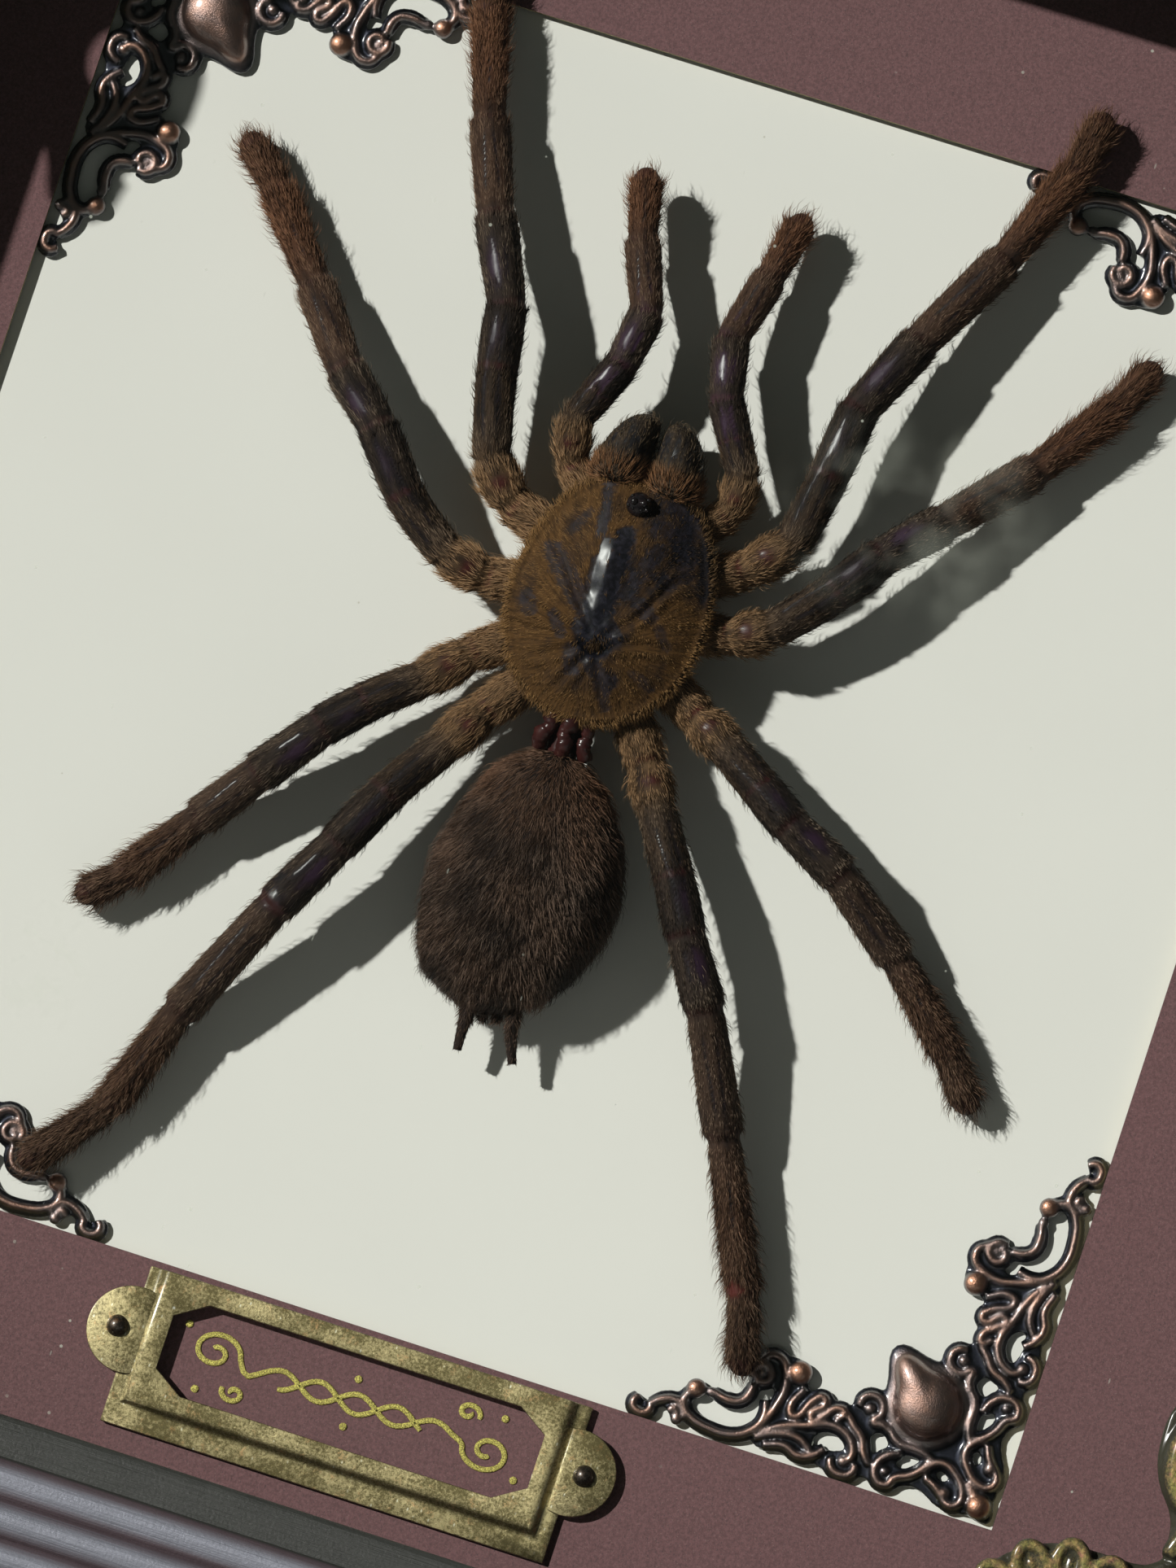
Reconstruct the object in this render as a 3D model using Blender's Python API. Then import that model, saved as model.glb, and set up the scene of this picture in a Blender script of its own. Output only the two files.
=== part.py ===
"""A tarantula specimen mounted on card in a deep, glazed, square box frame.

Everything is laid out on a board grid in millimetres: u runs right, v up and w towards the
viewer, from the middle of the card's front. An empty stands the board up, so u, v and w
become +X, +Z and -Y, with the frame standing on its bottom rail.
"""

import math

import bmesh
import bpy
from mathutils import Matrix, Vector

MM = 0.001
GAP = 0.3
QUARTER = math.pi / 2

# Frame: the rails' moulding, measured outwards from the inner edge that one sees.
SIGHT_HALF = 81.4
RAIL_WIDTH = 21.6
OUTER_HALF = SIGHT_HALF + RAIL_WIDTH
BACK_W = -11.0
BAND_WIDTH = 4.1
REED_COUNT = 4
REED_PITCH = 3.55
REED_CREST_W = (20.2, 21.6, 22.2, 21.2)
REED_VALLEY_W = (18.9, 19.7, 20.9, 20.9, 19.3)
REED_SHOULDER = 0.28
SHOULDER_LIFT = 0.35
OUTER_EDGE = ((RAIL_WIDTH, 17.0), (20.4, 18.8))
INNER_BAND = ((BAND_WIDTH - 0.3, 18.3), (0.5, 17.8), (0.0, 17.3))
LIP_BACK_W = 16.4
GROOVE_BACK_W = 13.7
GROOVE_DEPTH = 5.0
WALL_STEP = 1.5
RABBET_STEP = 7.0
RABBET_W = 1.4

# Flat layers behind the glass.
GLASS_HALF = SIGHT_HALF + GROOVE_DEPTH - GAP
GLASS_W = (GROOVE_BACK_W + GAP, LIP_BACK_W - GAP)
LAYER_HALF = SIGHT_HALF + RABBET_STEP - GAP
WINDOW_HALF = 62.5
MAT_W = (0.3, 1.1)
CARD_W = (-1.5, 0.0)
BACKING_W = (-5.8, -1.8)

# Cast ornaments on the frame's corners.
ORNAMENT_W = (22.5, 24.3)
ORNAMENT_TOP_W = 26.0
ROSETTE_CENTRE = 72.5
ROSETTE_RADIUS = 10.0
PETALS = 12
FRONT_W = ORNAMENT_TOP_W

# Rosette: (share of its radius, w, how far the petals stand out and in) at each ring.
ROSETTE_PROFILE = (
    (1.0, 23.0, 0.5), (1.0, 24.9, 0.5), (0.65, 25.6, 0.2), (0.26, ORNAMENT_TOP_W, 0.0),
)

# Stamped filigree in the window's corners, laid out from the window's corner.
FILIGREE_W = (0.3, 1.0)
TEARDROP_CENTRE = 9.3
TEARDROP_RADIUS = 3.0
TEARDROP_PROFILE = ((1.0, 0.6), (0.85, 1.8), (0.35, 2.7))
TEARDROP_POINT = 0.9
TEARDROP_SIDES = 12

# Label holder: rectangles are (left, right, bottom, top).
HOLDER_W = 1.4
FLANGE_W = 1.8
TRAY_W = 2.5
HOLDER_PLATE = (-20.7, 23.3, -78.5, -62.8)
TRAY_FOOT = (-20.2, 22.6, -76.9, -63.1)
TRAY_CROWN = (-18.2, 20.6, -75.2, -63.1)
LABEL_OPENING = (-17.2, 19.8, -74.1, -65.1)
OPENING_CORNER = (3.0, 1.9)
EAR_V = -69.5
EAR_RADIUS = 4.2
EAR_STEPS = 6
BRAD_RADIUS = 1.1
BRAD_TOP_W = 3.0
BRAD_U = {"label_brad_left": -22.0, "label_brad_right": 24.5}

# Front body of the spider: one outline, scaled towards its middle at each height.
BODY_MIDDLE = (1.1, 9.5)
BODY_OUTLINE = (
    (1.1, 22.2), (5.0, 21.9), (7.8, 20.2), (9.4, 16.2), (10.5, 11.2), (10.5, 6.6),
    (9.2, 2.4), (5.6, -1.6), (1.1, -2.4), (-3.4, -1.6), (-7.0, 2.4), (-8.3, 6.6),
    (-8.3, 11.2), (-7.2, 16.2), (-5.6, 20.2), (-2.8, 21.9),
)
BODY_LAYERS = (
    (0.30, 10.7), (0.62, 10.1), (0.86, 9.0), (1.0, 7.5),
    (0.96, 7.0), (0.64, 6.8), (0.60, 1.6), (0.48, 0.5),
)

EYE_MOUND = {"centre": (1.1, 19.3), "radius": 1.3, "height": (8.6, 10.4)}

# Spider limbs: each joint is (u, v, w), from the body out to the tip.
LEG_JOINTS = {
    "leg_left_1": (
        (-4.9, 14.0, 3.9), (-10.9, 16.2, 4.9), (-14.0, 19.5, 5.7), (-16.2, 28.2, 6.7),
        (-17.1, 34.0, 6.8), (-21.0, 42.1, 5.6), (-24.6, 50.8, 3.7), (-28.0, 61.2, 3.2),
        (-29.6, 67.0, 3.1)),
    "leg_left_2": (
        (-5.4, 9.7, 3.9), (-11.2, 8.7, 4.8), (-15.1, 9.5, 5.8), (-20.8, 13.8, 6.8),
        (-25.2, 19.2, 7.0), (-29.9, 23.5, 6.0), (-35.4, 30.6, 3.3), (-42.1, 38.6, 2.2),
        (-45.6, 42.0, 2.1)),
    "leg_left_3": (
        (-5.0, 5.2, 3.9), (-10.2, 1.2, 4.8), (-13.4, -2.3, 5.5), (-18.1, -6.3, 6.2),
        (-21.1, -9.6, 6.2), (-25.6, -15.6, 4.8), (-29.7, -21.2, 3.2), (-34.9, -28.5, 2.4),
        (-37.8, -31.2, 2.3)),
    "leg_left_4": (
        (-3.6, 1.2, 3.9), (-7.2, -3.7, 4.8), (-9.4, -7.5, 5.6), (-13.4, -14.0, 6.8),
        (-16.2, -20.0, 7.0), (-20.0, -27.2, 6.4), (-25.7, -39.2, 3.5), (-29.3, -49.7, 2.4),
        (-34.8, -57.0, 3.0)),
    "leg_right_1": (
        (7.1, 14.0, 3.9), (12.4, 16.8, 4.9), (15.9, 20.2, 5.7), (17.2, 27.7, 6.4),
        (17.9, 34.5, 6.2), (21.3, 42.5, 5.0), (26.4, 52.5, 3.5), (30.4, 62.9, 3.2),
        (31.2, 68.0, 3.1)),
    "leg_right_2": (
        (7.6, 9.6, 3.9), (12.9, 10.2, 4.8), (16.4, 11.9, 5.5), (21.3, 17.3, 6.0),
        (24.2, 21.7, 5.8), (28.8, 26.7, 4.7), (35.3, 34.2, 2.9), (41.0, 42.5, 2.2),
        (42.9, 46.6, 2.1)),
    "leg_right_3": (
        (7.3, 5.2, 3.9), (12.6, 1.9, 4.9), (15.8, 0.2, 6.0), (20.4, -2.8, 7.1),
        (24.0, -5.2, 7.5), (29.8, -8.2, 6.6), (37.2, -13.8, 3.5), (44.9, -21.1, 2.2),
        (47.8, -24.8, 2.1)),
    "leg_right_4": (
        (5.8, 1.2, 3.9), (9.3, -3.9, 4.9), (11.3, -7.3, 5.8), (15.2, -13.3, 7.2),
        (17.9, -18.1, 7.5), (21.8, -24.2, 6.6), (27.0, -34.8, 3.7), (33.4, -48.5, 2.5),
        (35.4, -54.8, 3.0)),
}
LEG_RADII = (1.7, 1.95, 1.95, 2.1, 1.95, 1.95, 1.75, 1.6, 1.55)
PALP_JOINTS = {
    "palp_left": (
        (-2.9, 17.6, 3.8), (-6.7, 21.8, 5.0), (-7.5, 25.5, 6.2), (-4.9, 31.8, 6.6),
        (-4.2, 37.3, 5.8), (-6.9, 44.0, 4.7), (-8.4, 49.8, 4.3)),
    "palp_right": (
        (5.1, 17.6, 3.8), (9.4, 21.4, 5.0), (9.6, 24.9, 6.2), (5.6, 31.6, 6.4),
        (4.2, 37.4, 5.3), (5.7, 44.1, 4.0), (6.9, 50.1, 3.2)),
}
PALP_RADII = (1.4, 1.6, 1.75, 1.6, 1.7, 1.75, 1.5)
TIP_LENGTH = 0.9
TIP_SCALE = 0.45

# Abdomen: (v, u middle, half width, w middle, half height) at each cross-section.
ABDOMEN_SECTIONS = (
    (-2.9, 1.1, 1.6, 4.2, 1.7), (-5.8, 1.1, 3.2, 4.5, 2.6), (-9.0, 1.4, 6.3, 4.9, 4.0),
    (-13.0, 1.8, 8.4, 5.0, 4.5), (-17.5, 1.9, 9.4, 5.0, 4.6), (-21.5, 1.7, 9.1, 4.9, 4.5),
    (-25.5, 1.2, 7.9, 4.6, 4.0), (-28.7, 0.8, 5.6, 4.2, 3.1), (-30.6, 0.6, 3.0, 3.8, 2.0),
)
ABDOMEN_SIDES = 14
SPINNERETS = {"long": ((0.5, 5.4), 6.2, 0.6), "short": ((1.9, 3.2), 2.2, 0.5)}

# Chelicerae: (v, half width, w middle, half height) at each cross-section.
CHELICERA_SECTIONS = (
    (22.6, 2.4, 5.6, 2.6), (24.0, 2.6, 5.4, 3.2), (25.9, 2.4, 5.0, 3.4),
    (27.5, 1.7, 4.6, 2.9), (28.4, 0.9, 4.3, 1.7),
)
CHELICERA_U = {"chelicera_left": -2.1, "chelicera_right": 3.5}
CHELICERA_SIDES = 12


def clear_scene():
    for old in list(bpy.data.objects):
        bpy.data.objects.remove(old, do_unlink=True)


def make_board():
    """The empty that stands the board grid up, at the middle of the frame's height."""
    board = bpy.data.objects.new("board", None)
    bpy.context.collection.objects.link(board)
    board.location = (0.0, (BACK_W + FRONT_W) / 2 * MM, OUTER_HALF * MM)
    board.rotation_euler = (QUARTER, 0.0, 0.0)
    return board


def add_material(name, colour, roughness, metallic=0.0):
    finish = bpy.data.materials.new(name)
    finish.use_nodes = True
    shader = finish.node_tree.nodes["Principled BSDF"]
    shader.inputs["Base Color"].default_value = (*colour, 1.0)
    shader.inputs["Roughness"].default_value = roughness
    shader.inputs["Metallic"].default_value = metallic
    return finish


def add_object(name, data, board, finish, turn=0.0):
    """One named piece on the board, turned about w by the given angle."""
    piece = bpy.data.objects.new(name, data)
    bpy.context.collection.objects.link(piece)
    piece.parent = board
    piece.rotation_euler = (0.0, 0.0, turn)
    data.materials.append(finish)
    return piece


def mesh_from(bm, name, smooth_angle=None):
    """Turn a bmesh into a mesh with outward faces, smooth below the given edge angle."""
    bmesh.ops.recalc_face_normals(bm, faces=bm.faces)
    data = bpy.data.meshes.new(name)
    bm.to_mesh(data)
    bm.free()
    if smooth_angle is not None:
        data.shade_smooth()
        data.set_sharp_from_angle(angle=smooth_angle)
    return data


def add_ring(bm, points):
    """A closed loop of edges through points given in millimetres."""
    verts = [bm.verts.new(Vector(point) * MM) for point in points]
    edges = [bm.edges.new(pair) for pair in zip(verts, verts[1:] + verts[:1])]
    return verts, edges


def loft(name, rings, smooth_angle=math.radians(60)):
    """A closed body through the rings in turn, with a flat face on the first and the last."""
    bm = bmesh.new()
    loops = [add_ring(bm, ring) for ring in rings]
    for (_, before), (_, after) in zip(loops, loops[1:]):
        bmesh.ops.bridge_loops(bm, edges=before + after)
    bm.faces.new(loops[0][0])
    bm.faces.new(loops[-1][0])
    return mesh_from(bm, name, smooth_angle)


def ellipse(centre, half_u, half_w, sides):
    """A ring across v, as points round an ellipse in u and w."""
    u, v, w = centre
    angles = [math.tau * i / sides for i in range(sides)]
    return [(u + half_u * math.cos(a), v, w + half_w * math.sin(a)) for a in angles]


def slab(name, half, layer):
    """A square sheet centred on the board, between two depths."""
    bm = bmesh.new()
    size = Matrix.Diagonal((2 * half * MM, 2 * half * MM, (layer[1] - layer[0]) * MM, 1.0))
    middle = Matrix.Translation((0.0, 0.0, sum(layer) / 2 * MM))
    bmesh.ops.create_cube(bm, size=1.0, matrix=middle @ size)
    return mesh_from(bm, name)


def cut_sheet(name, outlines, layer, edge_steps):
    """A flat sheet cut to outlines: the first is its edge, and the others are its holes."""
    curve = bpy.data.curves.new(name, "CURVE")
    curve.dimensions = "2D"
    curve.fill_mode = "BOTH"
    curve.extrude = (layer[1] - layer[0]) / 2 * MM
    handle = "AUTO" if edge_steps > 1 else "VECTOR"
    for index, outline in enumerate(outlines):
        spline = curve.splines.new("BEZIER")
        spline.use_cyclic_u = True
        spline.resolution_u = edge_steps if index == 0 else 1
        spline.bezier_points.add(len(outline) - 1)
        for knot, (u, v) in zip(spline.bezier_points, outline):
            knot.co = (u * MM, v * MM, 0.0)
            knot.handle_left_type = handle
            knot.handle_right_type = handle
    helper = bpy.data.objects.new(name, curve)
    bpy.context.collection.objects.link(helper)
    bm = bmesh.new()
    bm.from_mesh(helper.evaluated_get(bpy.context.evaluated_depsgraph_get()).to_mesh())
    bpy.data.objects.remove(helper, do_unlink=True)
    bmesh.ops.remove_doubles(bm, verts=bm.verts, dist=0.001 * MM)
    bmesh.ops.translate(bm, verts=bm.verts, vec=(0.0, 0.0, sum(layer) / 2 * MM))
    return mesh_from(bm, name, math.radians(30))


def weld_solids(body, additions):
    """Join closed meshes into one body by Boolean unions."""
    base = bpy.data.objects.new("base", body)
    bpy.context.collection.objects.link(base)
    helpers = [base]
    for index, addition in enumerate(additions):
        helper = bpy.data.objects.new(f"addition_{index}", addition)
        bpy.context.collection.objects.link(helper)
        helpers.append(helper)
        union = base.modifiers.new(f"union_{index}", "BOOLEAN")
        union.operation = "UNION"
        union.object = helper
    evaluated = base.evaluated_get(bpy.context.evaluated_depsgraph_get())
    joined = bpy.data.meshes.new_from_object(evaluated)
    for helper in helpers:
        bpy.data.objects.remove(helper, do_unlink=True)
    joined.materials.clear()
    return joined


def cut_away(body, cutter):
    """Cut one closed mesh from another."""
    base = bpy.data.objects.new("base", body)
    knife = bpy.data.objects.new("knife", cutter)
    for helper in (base, knife):
        bpy.context.collection.objects.link(helper)
    cut = base.modifiers.new("cut", "BOOLEAN")
    cut.operation = "DIFFERENCE"
    cut.object = knife
    evaluated = base.evaluated_get(bpy.context.evaluated_depsgraph_get())
    result = bpy.data.meshes.new_from_object(evaluated)
    for helper in (base, knife):
        bpy.data.objects.remove(helper, do_unlink=True)
    return result


def circle(centre, radius, w, sides):
    """A ring flat on the board, at height w."""
    angles = [math.tau * i / sides for i in range(sides)]
    return [(centre[0] + radius * math.cos(a), centre[1] + radius * math.sin(a), w)
            for a in angles]


def dome(name, centre, radius, base_w, top_w, sides, rows):
    """A round button whose flat back is at base_w and whose flattened crown reaches top_w."""
    crown = QUARTER * (rows - 0.5) / rows
    rings = [circle(centre, radius, base_w, sides)]
    for row in range(1, rows + 1):
        lift = crown * row / rows
        height = base_w + (top_w - base_w) * math.sin(lift) / math.sin(crown)
        rings.append(circle(centre, radius * math.cos(lift), height, sides))
    return loft(name, rings)


def rail_section():
    """The moulding's outline as (distance from the inner edge, w), from the back round."""
    outline = [(RABBET_STEP, BACK_W), (RAIL_WIDTH, BACK_W), *OUTER_EDGE]
    for reed in reversed(range(REED_COUNT)):
        inner = BAND_WIDTH + REED_PITCH * reed
        low = REED_VALLEY_W[reed]
        high = REED_VALLEY_W[reed + 1]
        crest = REED_CREST_W[reed]
        for share, w in ((1.0, high), (0.5 + REED_SHOULDER, (crest + high) / 2 + SHOULDER_LIFT),
                         (0.5, crest), (0.5 - REED_SHOULDER, (crest + low) / 2 + SHOULDER_LIFT)):
            outline.append((inner + share * REED_PITCH, w))
    outline += [
        (BAND_WIDTH, REED_VALLEY_W[0]), *INNER_BAND,
        (0.0, LIP_BACK_W), (GROOVE_DEPTH, LIP_BACK_W), (GROOVE_DEPTH, GROOVE_BACK_W),
        (WALL_STEP, GROOVE_BACK_W), (WALL_STEP, RABBET_W), (RABBET_STEP, RABBET_W),
    ]
    return outline


def add_rails(board):
    """Four mitred rails of one moulding; each mitre keeps its share of the gap."""
    mitre = GAP / 2 * math.sqrt(2)
    ends = []
    for side in (-1, 1):
        ends.append([(side * (SIGHT_HALF + s - mitre), SIGHT_HALF + s, w)
                     for s, w in rail_section()])
    finish = add_material("frame_moulding", (0.20, 0.17, 0.19), 0.42, 0.35)
    for index, name in enumerate(("top", "left", "bottom", "right")):
        rail = loft(f"frame_rail_{name}", ends, math.radians(50))
        add_object(f"frame_rail_{name}", rail, board, finish, index * QUARTER)


def add_layers(board):
    """Glass, window mat, cream card and backing board, from front to back."""
    add_object("glass_pane", slab("glass_pane", GLASS_HALF, GLASS_W), board,
               add_material("glass", (0.9, 0.93, 0.92), 0.05))
    square = [(-1, -1), (1, -1), (1, 1), (-1, 1)]
    loops = [[(half * u, half * v) for u, v in square] for half in (LAYER_HALF, WINDOW_HALF)]
    add_object("window_mat", cut_sheet("window_mat", loops, MAT_W, 1), board,
               add_material("mauve_card", (0.13, 0.06, 0.065), 0.9))
    add_object("cream_card", slab("cream_card", LAYER_HALF, CARD_W), board,
               add_material("cream_card", (0.72, 0.71, 0.63), 0.9))
    add_object("backing_board", slab("backing_board", LAYER_HALF, BACKING_W), board,
               add_material("hardboard", (0.22, 0.13, 0.07), 0.85))


def mirrored(half):
    """A half outline that starts and ends on the corner's diagonal, and its mirror image."""
    return half + [(b, a) for a, b in reversed(half[1:-1])]


def from_corner(outline, corner):
    """Turn distances from the window's corner into board places at the top right."""
    return [(corner - a, corner - b) for a, b in outline]


def round_hole(centre, half_a, half_b, tilt=0.0, sides=6):
    """Points round an ellipse, for a hole; tilt turns it in its plane."""
    points = []
    for i in range(sides):
        angle = math.tau * i / sides
        a, b = half_a * math.cos(angle), half_b * math.sin(angle)
        points.append((centre[0] + a * math.cos(tilt) - b * math.sin(tilt),
                       centre[1] + a * math.sin(tilt) + b * math.cos(tilt)))
    return points


def filigree_outlines():
    """The stamping's edge and holes, in distances from the window's corner."""
    half = [
        (0.7, 0.7), (2.6, 0.6), (5.2, 0.9), (8.4, 1.8), (11.2, 0.9), (13.0, 1.3),
        (15.2, 0.8), (18.0, 1.2), (22.0, 1.3), (28.6, 0.8), (35.3, 1.0),
        (35.0, 2.6), (32.0, 3.2), (30.8, 5.1), (26.8, 5.6), (26.3, 8.4), (24.4, 9.5),
        (21.2, 9.0), (20.3, 7.4), (16.4, 7.0), (14.9, 9.1), (13.2, 9.4), (14.4, 14.4),
    ]
    holes = [
        ((27.3, 3.3), 2.7, 1.3, 0.1), ((16.9, 3.5), 1.6, 0.9, -0.2), ((12.6, 4.6), 1.0, 1.0, 0.8),
        ((9.5, 3.9), 1.4, 0.9, 0.0), ((6.5, 3.4), 1.0, 0.7, 0.3),
    ]
    loops = [mirrored(half)]
    for centre, half_a, half_b, tilt in holes:
        hole = round_hole(centre, half_a, half_b, tilt)
        loops += [hole, [(b, a) for a, b in hole]]
    return loops


def teardrop(name):
    """The boss: a dome on the diagonal, drawn out to a point towards the window's middle."""
    rings = []
    middle = WINDOW_HALF - TEARDROP_CENTRE
    for scale, w in TEARDROP_PROFILE:
        ring = []
        for i in range(TEARDROP_SIDES):
            angle = math.tau * i / TEARDROP_SIDES
            drawn_out = 1.0 + TEARDROP_POINT * max(0.0, math.cos(angle)) ** 5
            reach = TEARDROP_RADIUS * scale * drawn_out
            direction = angle - 1.5 * QUARTER
            ring.append((middle + reach * math.cos(direction),
                         middle + reach * math.sin(direction), w))
        rings.append(ring)
    return loft(name, rings)


def add_filigrees(board):
    """Four stamped corners, symmetrical about their diagonals, so turned copies fit."""
    finish = add_material("copper_stamping", (0.20, 0.11, 0.09), 0.35, 0.9)
    loops = [from_corner(loop, WINDOW_HALF) for loop in filigree_outlines()]
    sheet = cut_sheet("filigree", loops, FILIGREE_W, 2)
    stamping = weld_solids(sheet, [teardrop("boss")])
    for index, name in enumerate(("top_right", "top_left", "bottom_left", "bottom_right")):
        add_object(f"filigree_{name}", stamping.copy(), board, finish, index * QUARTER)


def ornament_outlines():
    """The casting's edge and its two scroll holes, as board places at the top right."""
    half = []
    for step in range(5):
        angle = math.radians(225 + 16 * step)
        half.append((ROSETTE_CENTRE + ROSETTE_RADIUS * math.cos(angle),
                     ROSETTE_CENTRE + ROSETTE_RADIUS * math.sin(angle)))
    half += [
        (79.3, 61.6), (79.4, 59.8), (80.9, 57.8), (78.2, 55.6), (76.0, 51.5), (76.5, 47.2),
        (79.2, 43.6), (81.4, 40.0), (83.4, 36.2), (86.2, 40.6), (89.6, 47.0), (90.6, 53.5),
        (88.6, 60.0), (90.4, 65.5), (92.2, 72.0), (91.4, 78.0), (94.0, 84.0), (98.2, 91.0),
        (98.0, 98.0),
    ]
    hole = round_hole((83.2, 51.6), 3.0, 3.4, 0.0, 7)
    return [mirrored(half), hole, [(b, a) for a, b in hole]]


def rosette(name):
    """A round flower with petals round its rim and a raised heart."""
    rings = []
    sides = 2 * PETALS
    for scale, w, wave in ROSETTE_PROFILE:
        ring = []
        for i in range(sides):
            angle = math.tau * i / sides
            reach = ROSETTE_RADIUS * scale + wave * (-1) ** i
            ring.append((ROSETTE_CENTRE + reach * math.cos(angle),
                         ROSETTE_CENTRE + reach * math.sin(angle), w))
        rings.append(ring)
    return loft(name, rings)


def add_ornaments(board):
    """A cast rosette with scroll arms over each mitre of the frame."""
    finish = add_material("antique_brass", (0.25, 0.20, 0.07), 0.4, 0.95)
    plate = cut_sheet("ornament", ornament_outlines(), ORNAMENT_W, 2)
    casting = weld_solids(plate, [rosette("rosette")])
    for index, name in enumerate(("top_right", "top_left", "bottom_left", "bottom_right")):
        add_object(f"corner_ornament_{name}", casting.copy(), board, finish, index * QUARTER)


def rectangle(sides):
    """The corners of a (left, right, bottom, top) rectangle, counterclockwise."""
    left, right, bottom, top = sides
    return [(left, bottom), (right, bottom), (right, top), (left, top)]


def label_opening():
    """The holder's opening: a rectangle with its corners cut off."""
    left, right, bottom, top = LABEL_OPENING
    cut_u, cut_v = OPENING_CORNER
    return [(left + cut_u, bottom), (right - cut_u, bottom), (right, bottom + cut_v),
            (right, top - cut_v), (right - cut_u, top), (left + cut_u, top),
            (left, top - cut_v), (left, bottom + cut_v)]


def ear(centre_u, side):
    """Points round a half-disc ear, from its lower end to its upper one."""
    angles = [math.pi * i / EAR_STEPS - QUARTER for i in range(EAR_STEPS + 1)]
    return [(centre_u + side * EAR_RADIUS * math.cos(a), EAR_V + EAR_RADIUS * math.sin(a))
            for a in angles]


def lifted(outline, w):
    """An outline as a ring at height w."""
    return [(u, v, w) for u, v in outline]


def add_label_holder(board):
    """A pressed plate: a flat flange with two ears, and a raised tray round the opening."""
    corners = rectangle(HOLDER_PLATE)
    left, right = HOLDER_PLATE[:2]
    edge = corners[:2] + ear(right, 1) + corners[2:] + ear(left, -1)[::-1]
    flange = cut_sheet("flange", [edge, label_opening()], (HOLDER_W, FLANGE_W), 1)
    foot_w = (HOLDER_W + FLANGE_W) / 2
    tray = loft("tray", [lifted(rectangle(TRAY_FOOT), foot_w),
                         lifted(rectangle(TRAY_CROWN), TRAY_W)])
    opening = loft("opening", [lifted(label_opening(), w) for w in (0.0, TRAY_W + 1.0)])
    holder = weld_solids(flange, [cut_away(tray, opening)])
    add_object("label_holder", holder, board,
               add_material("aged_brass", (0.22, 0.19, 0.08), 0.4, 0.9))
    brad_finish = add_material("dark_brad", (0.05, 0.045, 0.04), 0.35, 0.9)
    for name, u in BRAD_U.items():
        head = dome(name, (u, EAR_V), BRAD_RADIUS, FLANGE_W + GAP, BRAD_TOP_W, 10, 2)
        add_object(name, head, board, brad_finish)


def add_limb(name, joints, radii, board, finish):
    """A furred limb: a tube through the joints, thicker between them, with a blunt tip."""
    curve = bpy.data.curves.new(name, "CURVE")
    curve.dimensions = "3D"
    curve.bevel_depth = MM
    curve.bevel_resolution = 2
    curve.resolution_u = 2
    curve.use_fill_caps = True
    last = Vector(joints[-1])
    reach = (last - Vector(joints[-2])).normalized() * TIP_LENGTH
    knots = [*zip(joints, radii), (last + reach, radii[-1] * TIP_SCALE)]
    spline = curve.splines.new("BEZIER")
    spline.bezier_points.add(len(knots) - 1)
    for knot, (place, radius) in zip(spline.bezier_points, knots):
        knot.co = Vector(place) * MM
        knot.radius = radius
        knot.handle_left_type = "AUTO"
        knot.handle_right_type = "AUTO"
    add_object(name, curve, board, finish)


def add_front_body(board):
    """Carapace, coxa seat and sternum in one body, with the eye mound on its front."""
    middle_u, middle_v = BODY_MIDDLE
    rings = []
    for scale, w in BODY_LAYERS:
        rings.append([(middle_u + scale * (u - middle_u), middle_v + scale * (v - middle_v), w)
                      for u, v in BODY_OUTLINE])
    body = loft("front_body", rings)
    mound = dome("mound", EYE_MOUND["centre"], EYE_MOUND["radius"], *EYE_MOUND["height"], 8, 2)
    add_object("front_body", weld_solids(body, [mound]), board,
               add_material("golden_fur", (0.12, 0.075, 0.035), 0.8))


def add_abdomen(board):
    """The abdomen narrows to the waist in front and ends in four spinnerets."""
    rings = [ellipse((u, v, w), half_u, half_w, ABDOMEN_SIDES)
             for v, u, half_u, w, half_w in ABDOMEN_SECTIONS]
    rear_v = ABDOMEN_SECTIONS[-2][0]
    spinnerets = []
    for places, length, radius in SPINNERETS.values():
        for u in places:
            spinnerets.append(loft("spinneret", [
                ellipse((u - 0.1, rear_v + 1.0, 4.0), radius, radius, 6),
                ellipse((u, rear_v - length * 0.8, 3.6), radius, radius, 6),
                ellipse((u + 0.1, rear_v - length, 3.5), radius / 2, radius / 2, 6)]))
    add_object("abdomen", weld_solids(loft("abdomen", rings), spinnerets), board,
               add_material("dark_fur", (0.035, 0.024, 0.02), 0.85))


def add_chelicerae(board):
    """Two rounded jaws side by side, curving down in front of the carapace."""
    finish = add_material("jaw_fur", (0.06, 0.035, 0.022), 0.8)
    for name, u in CHELICERA_U.items():
        rings = [ellipse((u, v, w), half_u, half_w, CHELICERA_SIDES)
                 for v, half_u, w, half_w in CHELICERA_SECTIONS]
        add_object(name, loft(name, rings), board, finish)


def add_spider(board):
    add_front_body(board)
    add_abdomen(board)
    add_chelicerae(board)
    leg_finish = add_material("leg_fur", (0.04, 0.027, 0.024), 0.8)
    for name, joints in LEG_JOINTS.items():
        add_limb(name, joints, LEG_RADII, board, leg_finish)
    palp_finish = add_material("palp_fur", (0.05, 0.03, 0.024), 0.8)
    for name, joints in PALP_JOINTS.items():
        add_limb(name, joints, PALP_RADII, board, palp_finish)


def build():
    clear_scene()
    board = make_board()
    add_rails(board)
    add_layers(board)
    add_filigrees(board)
    add_ornaments(board)
    add_label_holder(board)
    add_spider(board)


build()
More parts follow.
